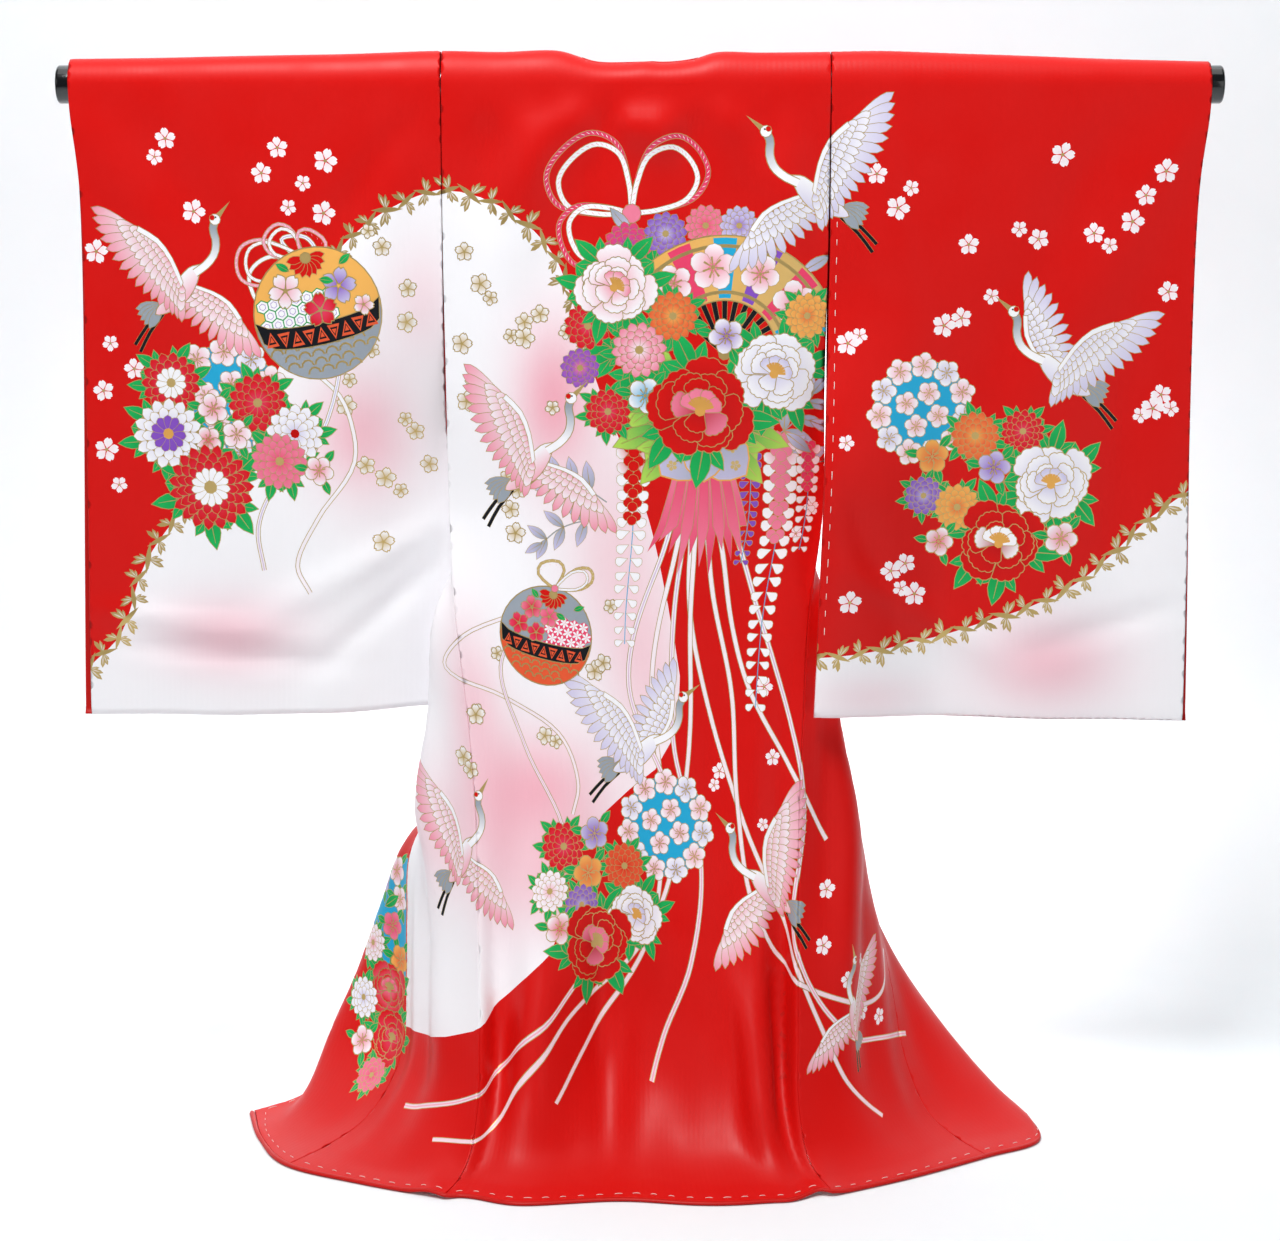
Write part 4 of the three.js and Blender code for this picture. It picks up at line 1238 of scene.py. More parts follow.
def sewn_cloth(name, hang, outline, spacing, shapes=(), finer_rows=()):
    """A panel hung in its place: its flat cut is printed first, as dyed silk is before it is sewn."""
    outline = np.array(outline, float)
    outline = outline if signed_area(outline) > 0 else outline[::-1]
    face = cut_panel(split_edges(outline, spacing), spacing, shapes, finer_rows)
    loop = loop_of(edges_round(face[1])[0])
    lining = cut_panel(face[0][loop], spacing * 1.3, (), finer_rows)
    return cloth_wall(name, face, lining, with_turned_edges(hang, outline))


# ---- Materials -----------------------------------------------------------------------------------


def add(tree, kind, settings=None, **inputs):
    """A node with its settings, and with each input set or linked. An input's name has _ for a space,
    or is i and its number."""
    node = tree.nodes.new(kind)
    for key, value in (settings or {}).items():
        setattr(node, key, value)
    for key, value in inputs.items():
        numbered = key[0] == "i" and key[1:].isdigit()
        socket = node.inputs[int(key[1:]) if numbered else key.replace("_", " ")]
        if isinstance(value, bpy.types.NodeSocket):
            tree.links.new(value, socket)
        else:
            socket.default_value = value
    return node


def new_material(name):
    material = bpy.data.materials.new(name)
    material.use_nodes = True
    tree = material.node_tree
    tree.nodes.clear()
    return material, tree


def finish_material(tree, surface):
    add(tree, "ShaderNodeOutputMaterial", Surface=surface.outputs[0])


def rgb(hexes):
    return (*linear(hexes), 1)


def silk(name, base=None):
    """Figured silk satin. The ground weave is 0.1 mm, too fine to show, so its threads are drawn 0.9 mm
    apart: they give the cloth a soft grain along the fall, and a sheen where it turns away. With no
    base colour it is paste resist dyed: the dyes of the print lie flat in the satin, and the gold leaf
    is drier and shines."""
    material, tree = new_material(name)
    place = add(tree, "ShaderNodeUVMap", {"uv_map": "cut"})
    thread = add(tree, "ShaderNodeTexWave", {"bands_direction": "X"}, Vector=place.outputs[0],
                 Scale=1 / (THREAD_PITCH * MM) / 20, Distortion=1.5, Detail=2.0, Detail_Scale=3.0)
    slub = add(tree, "ShaderNodeTexNoise", Vector=place.outputs[0], Scale=160.0, Detail=3.0, Roughness=0.6)
    drawn_out = add(tree, "ShaderNodeVectorMath", {"operation": "MULTIPLY"}, i0=place.outputs[0],
        i1=(1, 0.04, 1))
    fall = add(tree, "ShaderNodeTexNoise", Vector=drawn_out.outputs[0], Scale=330.0, Detail=2.0)
    grain = thread.outputs["Fac"]
    for noise, share in ((slub, 0.7), (fall, 1.3)):
        grain = add(tree, "ShaderNodeMath", {"operation": "MULTIPLY_ADD"}, i0=noise.outputs["Fac"], i1=share,
                    i2=grain).outputs[0]
    bump = add(tree, "ShaderNodeBump", Strength=0.12, Distance=0.25 * MM, Height=grain)
    cloudy = add(tree, "ShaderNodeTexNoise", Vector=place.outputs[0], Scale=14.0, Detail=3.0)
    wear = add(tree, "ShaderNodeMapRange", Value=cloudy.outputs["Fac"], From_Min=0.3, From_Max=0.7,
        To_Min=0.36, To_Max=0.5)
    shader = add(tree, "ShaderNodeBsdfPrincipled", Roughness=wear.outputs[0], IOR=1.28, Sheen_Weight=0.01,
                 Sheen_Roughness=0.35, Normal=bump.outputs[0])
    if base:
        shader.inputs["Base Color"].default_value = base
    else:
        dye = add(tree, "ShaderNodeVertexColor", {"layer_name": "dye"})
        tree.links.new(dye.outputs["Color"], shader.inputs["Base Color"])
        tree.links.new(dye.outputs["Alpha"], shader.inputs["Metallic"])
    finish_material(tree, shader)
    return material


PRINTED_SILK = silk("paste-resist dyed figured silk")
RED_LINING = silk("plain red lining silk", rgb("#C5140F"))


def cotton_thread():
    """White cotton basting thread: soft, matt, slightly fuzzy."""
    material, tree = new_material("white cotton basting thread")
    fuzz = add(tree, "ShaderNodeTexNoise", Scale=900.0, Detail=2.0)
    bump = add(tree, "ShaderNodeBump", Strength=0.5, Distance=0.2 * MM, Height=fuzz.outputs["Fac"])
    finish_material(tree, add(tree, "ShaderNodeBsdfPrincipled", Base_Color=rgb("#F4F1EA"), Roughness=0.8,
        IOR=1.5, Normal=bump.outputs[0]))
    return material


def black_lacquer():
    """Wood under polished black lacquer: a deep even black with sharp highlights, a little softened by
    handling."""
    material, tree = new_material("polished black lacquer")
    place = add(tree, "ShaderNodeTexCoord")
    haze = add(tree, "ShaderNodeTexNoise", Vector=place.outputs["Object"], Scale=18.0, Detail=4.0)
    rough = add(tree, "ShaderNodeMapRange", Value=haze.outputs["Fac"], To_Min=0.1, To_Max=0.22)
    finish_material(tree, add(tree, "ShaderNodeBsdfPrincipled", Base_Color=rgb("#0A0B0E"),
        Roughness=rough.outputs[0], IOR=1.55, Coat_Weight=0.6))
    return material


# ---- The kimono ----------------------------------------------------------------------------------
HALF_SEAM = SEAM / 2
ROD_ROWS = np.linspace(3, WRAP_ARC, 10)


def back_outline():
    across = np.linspace(-BOLT + HALF_SEAM, BOLT - HALF_SEAM, 96)
    neck = 1 - ease(np.abs(across - 4), NECK["half"] + 1.5, NECK["half"] + 6.5)
    top = np.column_stack([across, mix(HALF_SEAM, NECK["lead"], neck)])
    return np.vstack([top, [BOLT - HALF_SEAM, LENGTH], [-BOLT + HALF_SEAM, LENGTH]])


def front_outline(side):
    inner, outer = BOLT + HALF_SEAM, BOLT + FRONT_WIDTH - HALF_SEAM
    corners = np.array([(inner, HALF_SEAM), (outer, HALF_SEAM), (outer, LENGTH), (inner, LENGTH)], float)
    return corners * (SIGN[side], 1)


def overlap_outline(hang):
    seam = hang.first + np.sign(hang.first) * HALF_SEAM
    across = np.where(np.abs(hang.last - seam) < 1, seam + np.sign(seam), hang.last)
    edge = np.column_stack([across, hang.down])
    return np.vstack([np.column_stack([seam, hang.down])[[0, -1]], edge[::-1]])


def sleeve_outline(side):
    end = SLEEVE_DOWN[side]
    sign = SIGN[side]
    return np.array([(sign * BOLT, -end), (sign * (BOLT + SLEEVE_WIDTH), -end),
                     (sign * (BOLT + SLEEVE_WIDTH), end), (sign * BOLT, end)])


def normals_of(net):
    """Normals of a net of points, to the side that rows x columns give."""
    down, across = np.gradient(net, axis=0), np.gradient(net, axis=1)
    return unit(np.cross(down, across))


def net_triangles(columns, has):
    """Triangles of the net's cells that are there: its rows go down and its columns across, as
    cut_panel winds."""
    i, j = np.nonzero(has)
    k = i * columns + j
    return np.vstack([np.stack([k, k + 1, k + columns + 1], 1),
        np.stack([k, k + columns + 1, k + columns], 1)])


def collar_cloth():
    """The neckband: over the rod at the back of the neck, then parted down both front edges."""
    share = np.linspace(0, 1, 11)

    def across_from(left, right):
        bands = [end + sign * (SEAM + COLLAR["width"] * share) for end, sign in ((left, 1), (right, -1))]
        return np.concatenate([bands[0], bands[1][::-1]])

    def edges(z):
        station = "seam" if z > OVERLAP_TOP else "edge"
        ends = [at_height(LINES[side][station], z) for side in SIGN]
        if z <= OVERLAP_TOP:
            for end in ends:
                end[0] -= np.sign(end[0]) * COLLAR["clear"]
        return ends

    (left, _), (right, _) = edges(0)
    over = np.linspace(-NECK["lead"], WRAP_ARC, 16)[:-1]
    rows = []
    for reach in over:
        corner = 5 * (1 - ease(reach, -NECK["lead"], 1))
        rows.append(over_rod(across_from(left + corner, right - corner), reach))
    below = np.concatenate([np.linspace(0, -200, 41), np.linspace(-208, COLLAR["end"], 50)])
    for z in below:
        (x0, y0), (x1, y1) = edges(z)
        y = np.repeat([y0, y1], len(share))
        rows.append(np.column_stack([across_from(x0, x1), y, np.full(len(y), z)]))
    net, down = np.array(rows), np.concatenate([over, WRAP_ARC - below])
    columns = 2 * len(share)
    cells = np.ones((len(rows) - 1, columns - 1), bool)
    # below the neck the two bands part
    cells[down[:-1] > WRAP_ARC + COLLAR["drop"] - 3, len(share) - 1] = False
    triangles = net_triangles(columns, cells)
    flat = np.stack([net[..., 0], np.repeat(down[:, None], columns, 1)], -1).reshape(-1, 2)
    points, normal = net.reshape(-1, 3), -normals_of(net).reshape(-1, 3)
    used = np.unique(triangles)
    renumber = np.zeros(len(points), int)
    renumber[used] = np.arange(len(used))
    triangles = renumber[triangles][:, ::-1]
    points, normal = points[used], normal[used]
    cut = (flat[used], triangles, plain("scarlet", len(triangles)))
    half = np.full((len(used), 1), CLOTH / 2)

    def lay(spots):
        return points, normal, half, np.ones_like(half), np.zeros_like(normal)

    return cloth_wall("collar_silk", cut, cut, lay)


def hem_path():
    """Points of the hem from the left front edge round to the right one, and the way out from each."""
    parts = []
    for level in (HEM_Z + 8, HEM_Z):
        left = front_section("left", level, np.linspace(0, 2, 161))[::-1]
        back = back_section(level, np.linspace(0, 1, 161))
        right = front_section("right", level, np.linspace(0, 2, 161))
        parts.append(np.vstack([left, back[1:], right[1:]]))
    length = run_along(parts[1])
    want = np.linspace(0, length[-1], 420)
    above, hem = (np.stack([np.interp(want, length, part[:, k]) for k in range(3)], 1) for part in parts)
    return hem, unit((hem - above) * (1, 1, 0))


def hem_roll_cloth():
    """The padded hem: lining silk turned out round a thin roll of floss."""
    hem, out = hem_path()
    count, sides = len(hem), 12
    up = np.cross(np.gradient(hem, axis=0), out)
    up = unit(up * np.sign(up[:, 2:3]))
    from_end = np.minimum(np.arange(count), count - 1 - np.arange(count))
    full = np.sqrt(np.clip(from_end / 3, 0.02, 1))[:, None, None]
    middle = hem + out * (SEAM + ROLL["out"]) + (0, 0, ROLL["rise"])
    cos, sin = circle(sides).T[..., None]
    net = middle[:, None] + full * (ROLL["out"] * cos * out[:, None] + ROLL["up"] * sin * up[:, None])
    i, j = np.meshgrid(np.arange(count - 1), np.arange(sides), indexing="ij")
    near, beside = (i * sides + j).ravel(), (i * sides + (j + 1) % sides).ravel()
    last, fan_round = (count - 1) * sides, np.arange(1, sides - 1)
    start = np.zeros_like(fan_round)
    faces = np.vstack([np.stack([near, beside, beside + sides], 1),
        np.stack([near, beside + sides, near + sides], 1), np.stack([start, fan_round + 1, fan_round], 1),
        last + np.stack([start, fan_round, fan_round + 1], 1)])
    flat = np.stack(np.meshgrid(np.arange(count) * 3.4, np.arange(sides) * 1.3, indexing="ij"), -1)
    return make_mesh("hem_roll_silk", net.reshape(-1, 3), faces, materials=(RED_LINING,),
                     flat=flat.reshape(-1, 2)[faces])


def rod_turned():
    """The rod: a long cylinder with rounded rims and flat ends."""
    end, edge, sides = ROD_LENGTH / 2, 3, 72
    turn = np.linspace(0, math.pi / 2, 9)
    rim = np.column_stack([ROD_RADIUS - edge + edge * np.sin(turn), end - edge + edge * np.cos(turn)])
    along = [[ROD_RADIUS, x] for x in np.linspace(end - 4 * edge, 4 * edge - end, 40)]
    profile = np.vstack([[0.01, end], rim, along, (rim * (1, -1))[::-1], [0.01, -end]])
    reach, x = profile[:, :1], np.repeat(profile[:, 1:], sides, 1)
    cos, sin = circle(sides).T
    net = np.stack([x, reach * cos, reach * sin], -1)
    i, j = np.meshgrid(np.arange(len(profile) - 1), np.arange(sides), indexing="ij")
    near, beside = i * sides + j, i * sides + (j + 1) % sides
    faces = np.stack([near, near + sides, beside + sides, beside], -1).reshape(-1, 4)
    return make_mesh("lacquered_rod", net.reshape(-1, 3), faces, materials=(black_lacquer(),))


# ---- The design ----------------------------------------------------------------------------------
CORD = Dye("white", "blush", (0, 300), (0, 2000))
DAWN = (
    # pink clouds on the white silk: dye, across, down, width, height, strength
    ("dawn", -82, 348, 42, 80, 0.85), ("dawn", -20, 500, 50, 110, 0.4), ("dawn", -186, 655, 32, 85, 0.5),
    ("dawn", -120, 745, 85, 60, 0.75), ("dawn", -80, 830, 75, 60, 0.7), ("dawn", 15, 620, 45, 95, 0.45),
    ("dawn", -165, 800, 34, 95, 0.4), ("dawn", -240, 800, 60, 60, 0.4),
)
body, sleeves = Print(), {"left": Print(), "right": Print()}


def white_silk(cloth, edge, corners, clouds, birds=None):
    """An undyed field: the edge is a smooth curve, and corners close it."""
    line = curve(edge, np.linspace(0, 1, 50))
    cloth.fill(np.vstack([line, corners]), Ground("white", clouds))
    for part in birds or (slice(None),):
        gold_birds(cloth, edge[part])


def scatter(cloths, places, size, start="white", end="petal", line=0.0):
    """Small blossoms set about in ones and threes."""
    for k, (across, down) in enumerate(places):
        for cloth in cloths:
            blossom(cloth, Spot(across, down, 47 * k % 72, size * (1, 0.78, 1.15)[k % 3]), start, end, line)


def posy(cloth, spot, blooms):
    """A round cluster of flowers over leaves: each bloom is its kind, place, size and colours."""
    for kind, x, y, size, *colours in blooms:
        if kind in (peony, chrysanthemum):
            leaves_round(cloth, spot.at(x, y, 17 * x % 60, size), (0, 60, 125, 180, 240, 300), 0.82)
    for kind, x, y, size, *colours in blooms:
        if kind is plum:
            for k in range(3):
                leaf(cloth, spot.at(x, y, 120 * k + 40, size).at(0, 0.7, 0, 1.0), "green", "leaf", 0.5)
        kind(cloth, spot.at(x, y, 31 * x % 60, size), *colours)


def blossom_ball(cloth, spot, radius, ground="blue"):
    """A ball of blossoms on a blue ground, with flowers all round its rim."""
    cloth.disc(spot, radius, Dye(ground), LINE, 30)
    for k in range(11):
        turned = spot.at(0, 0, 360 / 11 * k)
        plum(cloth, turned.at(0, radius * 0.9, 0, radius * 0.27), "white", ("blush", "lavender")[k % 2], 0.7)
    for k in range(4):
        plum(cloth, spot.at(0, 0, 90 * k + 20).at(0, radius * 0.36, 0, radius * 0.24), "white", "blush", 0.7)


def tassel_cords(cloth, start, ends, width=4.2):
    """Cords that stream down from a knot, each along its own bends."""
    for k, bends in enumerate(ends):
        cloth.ribbon(np.vstack([start, bends]), width, CORD, LINE * 0.8)
        if k % 3 == 1:
            inner = Dye("lavender", "blush", (0, 400), (0, 1000))
            cloth.ribbon(np.vstack([start, bends]), width * 0.3, inner)


# The left sleeve: scarlet above, white silk from the body side down to the cuff, with plovers between.
cloth = sleeves["left"]
white_silk(cloth, [(-176, 137), (-200, 140), (-246, 157), (-292, 190), (-332, 240), (-366, 318),
    (-412, 404), (-470, 462), (-510, 520), (-534, 590), (-568, 626)], [(-600, 720), (-150, 720)],
    (("dawn", -282, 385, 52, 66, 0.65), ("dawn", -425, 592, 70, 42, 0.55),
    ("dawn", -215, 250, 40, 60, 0.3)), (slice(0, 5), slice(6, None)))
scatter([cloth], [(-473, 88), (-486, 106), (-450, 160), (-360, 97), (-336, 132), (-312, 110), (-378, 122),
    (-352, 156), (-316, 162), (-516, 318), (-540, 292), (-546, 400), (-548, 340), (-534, 436),
    (-552, 200)], 11)
scatter([cloth], [(-256, 196), (-270, 180), (-232, 272), (-230, 238), (-268, 300), (-296, 356), (-226, 385),
                  (-236, 372), (-262, 432), (-280, 418), (-248, 446), (-266, 498), (-216, 420), (-292, 330)],
        9, "white", "gold", 1.0)
tassel_cords(cloth, [(-330, 220)], ([(-372, 205), (-395, 225), (-352, 300), (-300, 350), (-290, 410),
    (-330, 470), (-352, 520), (-338, 548)], [(-360, 188), (-335, 186), (-318, 214), (-300, 300),
    (-330, 400), (-376, 440), (-392, 480), (-386, 524)]), 3.4)
bow(cloth, Spot(-338, 206, -30, 56), 2.8, ((-66, 1.25, 0.42), (-24, 0.8, 0.3), (60, 0.5, 0.3)),
    ("white", "blush"))
ball(cloth, Spot(-324, 262, -12, 66), "orange", "grey", ((-0.92, 0.2, -0.2, 0.34), 0.18, "hexagons"),
    "vermilion", ((-0.42, 0.44, 0.27, blossom, ("white", "blush", 1.0)), (0.42, 0.34, 0.28, blossom,
    ("lavender", "purple", 1.0)), (0.06, 0.04, 0.26, blossom, ("scarlet", "rose", 1.0)), (0.74, -0.02,
    0.16, blossom, ("white", "pink", 0.8))))
blossom_ball(cloth, Spot(-422, 352), 58)
posy(cloth, Spot(-412, 388), ((chrysanthemum, -66, 56, 31, "scarlet", "rose", 3, 15, "gold", "white"),
    (chrysanthemum, 24, 36, 30, "scarlet", "rose", 3, 15), (plum, -22, 30, 16, "white", "pink"),
    (plum, 2, 4, 15, "white", "blush"), (chrysanthemum, 62, 4, 30, "white", "lavender", 3, 13, "scarlet"),
    (plum, -28, -2, 14, "white", "rose"),
    (chrysanthemum, -70, 4, 36, "white", "lavender", 3, 15, "orange", "purple"),
    (chrysanthemum, 44, -24, 29, "pink", "rose", 3, 15), (plum, 84, -34, 15, "white", "pink"),
    (chrysanthemum, -28, -50, 44, "scarlet", "rose", 4, 19, "gold", "white")))
crane(cloth, Spot(-468, 242, -36, 63), "pink", 58, 100)

# The right sleeve: scarlet, with white silk along the foot.
cloth = sleeves["right"]
white_silk(cloth, [(180, 618), (196, 618), (250, 612), (312, 598), (366, 580), (412, 562), (456, 538),
    (492, 508), (524, 474), (552, 452), (568, 440)], [(600, 720), (150, 720)],
    (("dawn", 430, 622, 70, 48, 0.6), ("dawn", 250, 660, 60, 24, 0.25)))
scatter([cloth], [(240, 124), (275, 138), (262, 158), (335, 194), (360, 246), (425, 104), (462, 182),
    (478, 194), (500, 170), (512, 144), (386, 178), (312, 276), (330, 268), (226, 288), (214, 296),
    (540, 240), (516, 365), (528, 358), (536, 344), (546, 358), (224, 560), (266, 528), (276, 546),
    (290, 552), (280, 520), (214, 396), (530, 120), (406, 188)], 11)
blossom_ball(cloth, Spot(292, 362), 50)
posy(cloth, Spot(366, 440), ((plum, -62, 30, 17, "orange", "vermilion"),
    (chrysanthemum, -18, 52, 25, "vermilion", "orange", 3, 14),
    (chrysanthemum, 30, 58, 22, "scarlet", "rose", 3, 14), (plum, 2, 20, 17, "lavender", "purple"),
    (chrysanthemum, -70, -10, 20, "purple", "lavender", 3, 12),
    (peony, 60, 6, 44, "white", "lavender", "orange"),
    (chrysanthemum, -34, -22, 24, "orange", "vermilion", 3, 14),
    (peony, 10, -56, 46, "scarlet", "deep red", "orange", "white"), (plum, 72, -52, 17, "white", "pink"),
    (plum, -52, -58, 15, "white", "rose")))
crane(cloth, Spot(436, 328, 26, 64, flip=True), "lavender", 36, 112, True)

# The far side of both sleeves: a white foot, and blossoms let fall.
for side, sign in SIGN.items():
    foot = [(180, -618), (250, -612), (366, -580), (456, -538), (524, -474), (568, -440)]
    white_silk(sleeves[side], [(sign * across, down) for across, down in foot], [(sign * 600, -720),
        (sign * 150, -720)], ())
    scatter([sleeves[side]], [(sign * across, down) for across, down in ((250, -150), (268, -166),
        (330, -240), (412, -140), (428, -158), (500, -200), (296, -330), (312, -346), (380, -420),
        (480, -330), (496, -350), (240, -470), (520, -120), (360, -170))], 11)

# The body: white silk down the left of the back, drawn aside over scarlet.
cloth = body
white_silk(cloth, [(-383.6, 640), (-376, 500), (-354, 350), (-318, 240), (-270, 168), (-224, 144),
    (-190, 139), (-150, 148), (-112, 170), (-84, 200), (-66, 240), (-40, 330), (-4, 420), (22, 500),
    (44, 580), (52, 650), (30, 716), (-30, 760), (-80, 820), (-96, 880), (-102, 905), (-150, 950),
    (-200, 985), (-290, 1012), (-383.6, 1026)], [(-383.6, 1030)], DAWN, (slice(0, 12),))
scatter([cloth], [(-172, 200), (-146, 246), (-156, 232), (-112, 270), (-126, 284), (-112, 286),
    (-96, 262), (-70, 280), (-176, 292), (-164, 330), (-84, 356), (-172, 350), (-120, 440), (-132, 428),
    (-124, 484), (-128, 460), (-24, 558), (-44, 624), (-34, 616), (-182, 664), (-184, 668), (-106, 690),
    (-94, 696), (-204, 712), (-196, 724), (-152, 606)], 9, "white", "gold", 1.0)
scatter([cloth], [(98, 726), (92, 740), (148, 640), (160, 712), (150, 780), (226, 905), (256, 944),
    (290, 930), (300, 986), (180, 460), (166, 486), (232, 850), (330, 1000), (240, 240), (256, 262),
    (330, 190), (300, 420), (344, 560), (326, 582), (262, 640), (420, 700), (440, 724), (-440, 620),
    (-424, 644), (-470, 800)], 9)
knot = [(56, 392)]
tassel_cords(cloth, knot, (
    [(40, 520), (20, 640), (30, 760), (20, 880), (-40, 980), (-96, 1060)],
    [(46, 560), (44, 700), (76, 820), (60, 920), (30, 990), (16, 1044)],
    [(60, 540), (84, 660), (120, 760), (168, 870), (210, 960), (262, 1050), (306, 1096)],
    [(80, 520), (110, 640), (120, 760), (150, 900), (240, 960), (330, 980), (372, 940)],
    [(30, 500), (-6, 640), (40, 760), (30, 860), (-60, 930), (-150, 1020), (-220, 1060), (-320, 1088)],
    [(64, 580), (60, 720), (30, 860), (-20, 930), (-86, 980), (-130, 1040), (-176, 1092), (-246, 1106)],
    [(90, 500), (130, 640), (180, 720), (232, 800)],
    [(100, 480), (160, 620), (200, 760), (190, 900), (260, 1000), (330, 1022), (400, 1034)]))
tassel_cords(cloth, [(-110, 560)], (
    [(-190, 590), (-215, 620), (-150, 650), (-88, 690), (-70, 740), (-78, 770)],
    [(-150, 620), (-130, 700), (-90, 790), (-110, 830)]), 3.0)
spray(cloth, Spot(-30, 452, -66, 74))
spray(cloth, Spot(-34, 470, -104, 66), 3)
spray(cloth, Spot(112, 398, 58, 86))
spray(cloth, Spot(132, 392, 112, 74), 3)
for across, down, length, half, *colours in (
        (-2, 398, 11.5, 17, "white", "scarlet", 0.42), (116, 392, 10, 12, "purple", "purple", 0.3),
        (148, 388, 15, 18, "white", "pink", 0.4), (176, 396, 8, 13, "white", "rose", 0.5)):
    wisteria(cloth, Spot(across, down, 2, half), length, *colours)
bow(cloth, Spot(-4, 162, -4, 94), 4.4)

# The bouquet below the bow: a fan laid among peonies and chrysanthemums.
bouquet = Spot(56, 286)
for turn in (-112, -82, -50, 50, 82, 112, 140, -140):
    lobed_leaf(cloth, bouquet.at(10, -74, turn).at(0, 44, 0, 50), "green", "lime")
tassel(cloth, bouquet.at(12, -122, 0, 110))
for turn, reach in ((-100, 96), (-72, 104), (-128, 84), (98, 104), (74, 110), (122, 92), (150, 84),
        (28, 104), (-30, 98), (178, 88)):
    dyes = ("blue", "blue") if turn == 28 else ("green", "leaf")
    lobed_leaf(cloth, bouquet.at(0, 0, turn).at(0, reach - 20, 0, 44), *dyes)
for x, y, turn in ((112, 66, 60), (118, 40, 84), (-60, 104, -40), (96, -96, 128), (122, -84, 112)):
    leaf(cloth, bouquet.at(x, y, turn, 32), "lavender", "grey", 0.36)
for x, y, size, colours in ((-64, 92, 24, ("rose", "purple")), (-26, 104, 22, ("purple", "lavender")),
                            (14, 112, 21, ("pink", "rose")), (48, 112, 20, ("lavender", "purple")),
                            (-104, 12, 24, ("scarlet", "rose")), (-112, -30, 20, ("purple", "pink"))):
    chrysanthemum(cloth, bouquet.at(x, y, x, size), *colours, 3, 13)
fan(cloth, bouquet.at(34, -16, 12, 118))
posy(cloth, bouquet, ((chrysanthemum, 118, 22, 23, "orange", "vermilion", 3, 13),
    (chrysanthemum, -52, -12, 28, "pink", "white", 3, 14),
    (chrysanthemum, -18, 22, 25, "vermilion", "orange", 3, 14),
    (chrysanthemum, -84, -74, 23, "scarlet", "rose", 3, 13),
    (peony, -76, 52, 42, "white", "pink", "orange"), (peony, 86, -34, 46, "white", "lavender", "orange"),
    (plum, 36, 2, 18, "white", "purple"), (plum, -46, -58, 18, "white", "blue"),
    (peony, 10, -70, 56, "scarlet", "deep red", "orange", "pink")))

# The lower posy and the flowers along the overlap.
blossom_ball(cloth, Spot(34, 782), 50)
posy(cloth, Spot(-42, 850), ((chrysanthemum, -48, 48, 25, "scarlet", "rose", 3, 14),
    (plum, -10, 60, 17, "lavender", "purple"), (chrysanthemum, 26, 26, 24, "vermilion", "scarlet", 3, 14),
    (chrysanthemum, -64, 4, 21, "white", "blush", 3, 13), (plum, -18, 20, 18, "orange", "vermilion"),
    (chrysanthemum, -26, -12, 21, "purple", "lavender", 3, 13), (plum, -52, -34, 16, "white", "rose"),
    (peony, 40, -24, 34, "white", "lavender", "orange"),
    (peony, -6, -52, 43, "scarlet", "deep red", "gold", "pink")))
cloth.fill([(-386, 850), (-430, 858), (-452, 900), (-446, 960), (-420, 990), (-386, 985)], Dye("blue"), LINE)
posy(cloth, Spot(-424, 976), ((plum, 14, 108, 16, "white", "pink"),
    (plum, -14, 92, 14, "lavender", "purple"), (plum, 22, 78, 15, "white", "blush"), (leaf, -4, 66, 26),
    (plum, 10, 48, 15, "pink", "rose"), (chrysanthemum, -20, 24, 20, "white", "pink", 3, 12),
    (plum, 24, 14, 16, "orange", "vermilion"), (peony, 8, -18, 30, "scarlet", "pink", "gold"),
    (chrysanthemum, -28, -34, 21, "white", "lavender", 3, 12),
    (peony, 16, -66, 28, "scarlet", "rose", "gold"), (plum, -22, -76, 15, "white", "pink"),
    (chrysanthemum, 6, -104, 17, "pink", "rose", 3, 11)))

for across, down, turn, size, flip, *look in (
        (-108, 420, -34, 64, False, "pink", 70, 96), (0, 712, -22, 62, False, "lavender", 46, 112, True),
        (-218, 822, -42, 58, False, "pink", 80, 112), (158, 852, 30, 62, True, "pink", 80, 102),
        (272, 990, 60, 48, True, "pink", 90, 118)):
    crane(cloth, Spot(across, down, turn, size, flip), *look)
for part in (body, sleeves["right"]):
    crane(part, Spot(184, 150, 26, 66, True), "lavender", 60, 90)
ball(cloth, Spot(-96, 588, 14, 50), "grey", "vermilion", ((0.04, 0.94, -0.2, 0.4), 0.21, "circles"),
    "vermilion", ((-0.4, 0.5, 0.24, blossom, ("pink", "scarlet", 0.7)), (-0.62, 0.12, 0.22, blossom,
    ("rose", "scarlet", 0.7)), (0.0, 0.4, 0.22, blossom, ("pink", "rose", 0.7)), (-0.22, 0.02, 0.2,
    blossom, ("rose", "scarlet", 0.7))))
bow(cloth, Spot(-84, 540, 20, 36), 2.0, ((-30, 0.8, 0.4), (50, 1.2, 0.3)), ("white", "gold"))


def declare(piece, node, slot, **cut):
    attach(piece, "root")
    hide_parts(node)


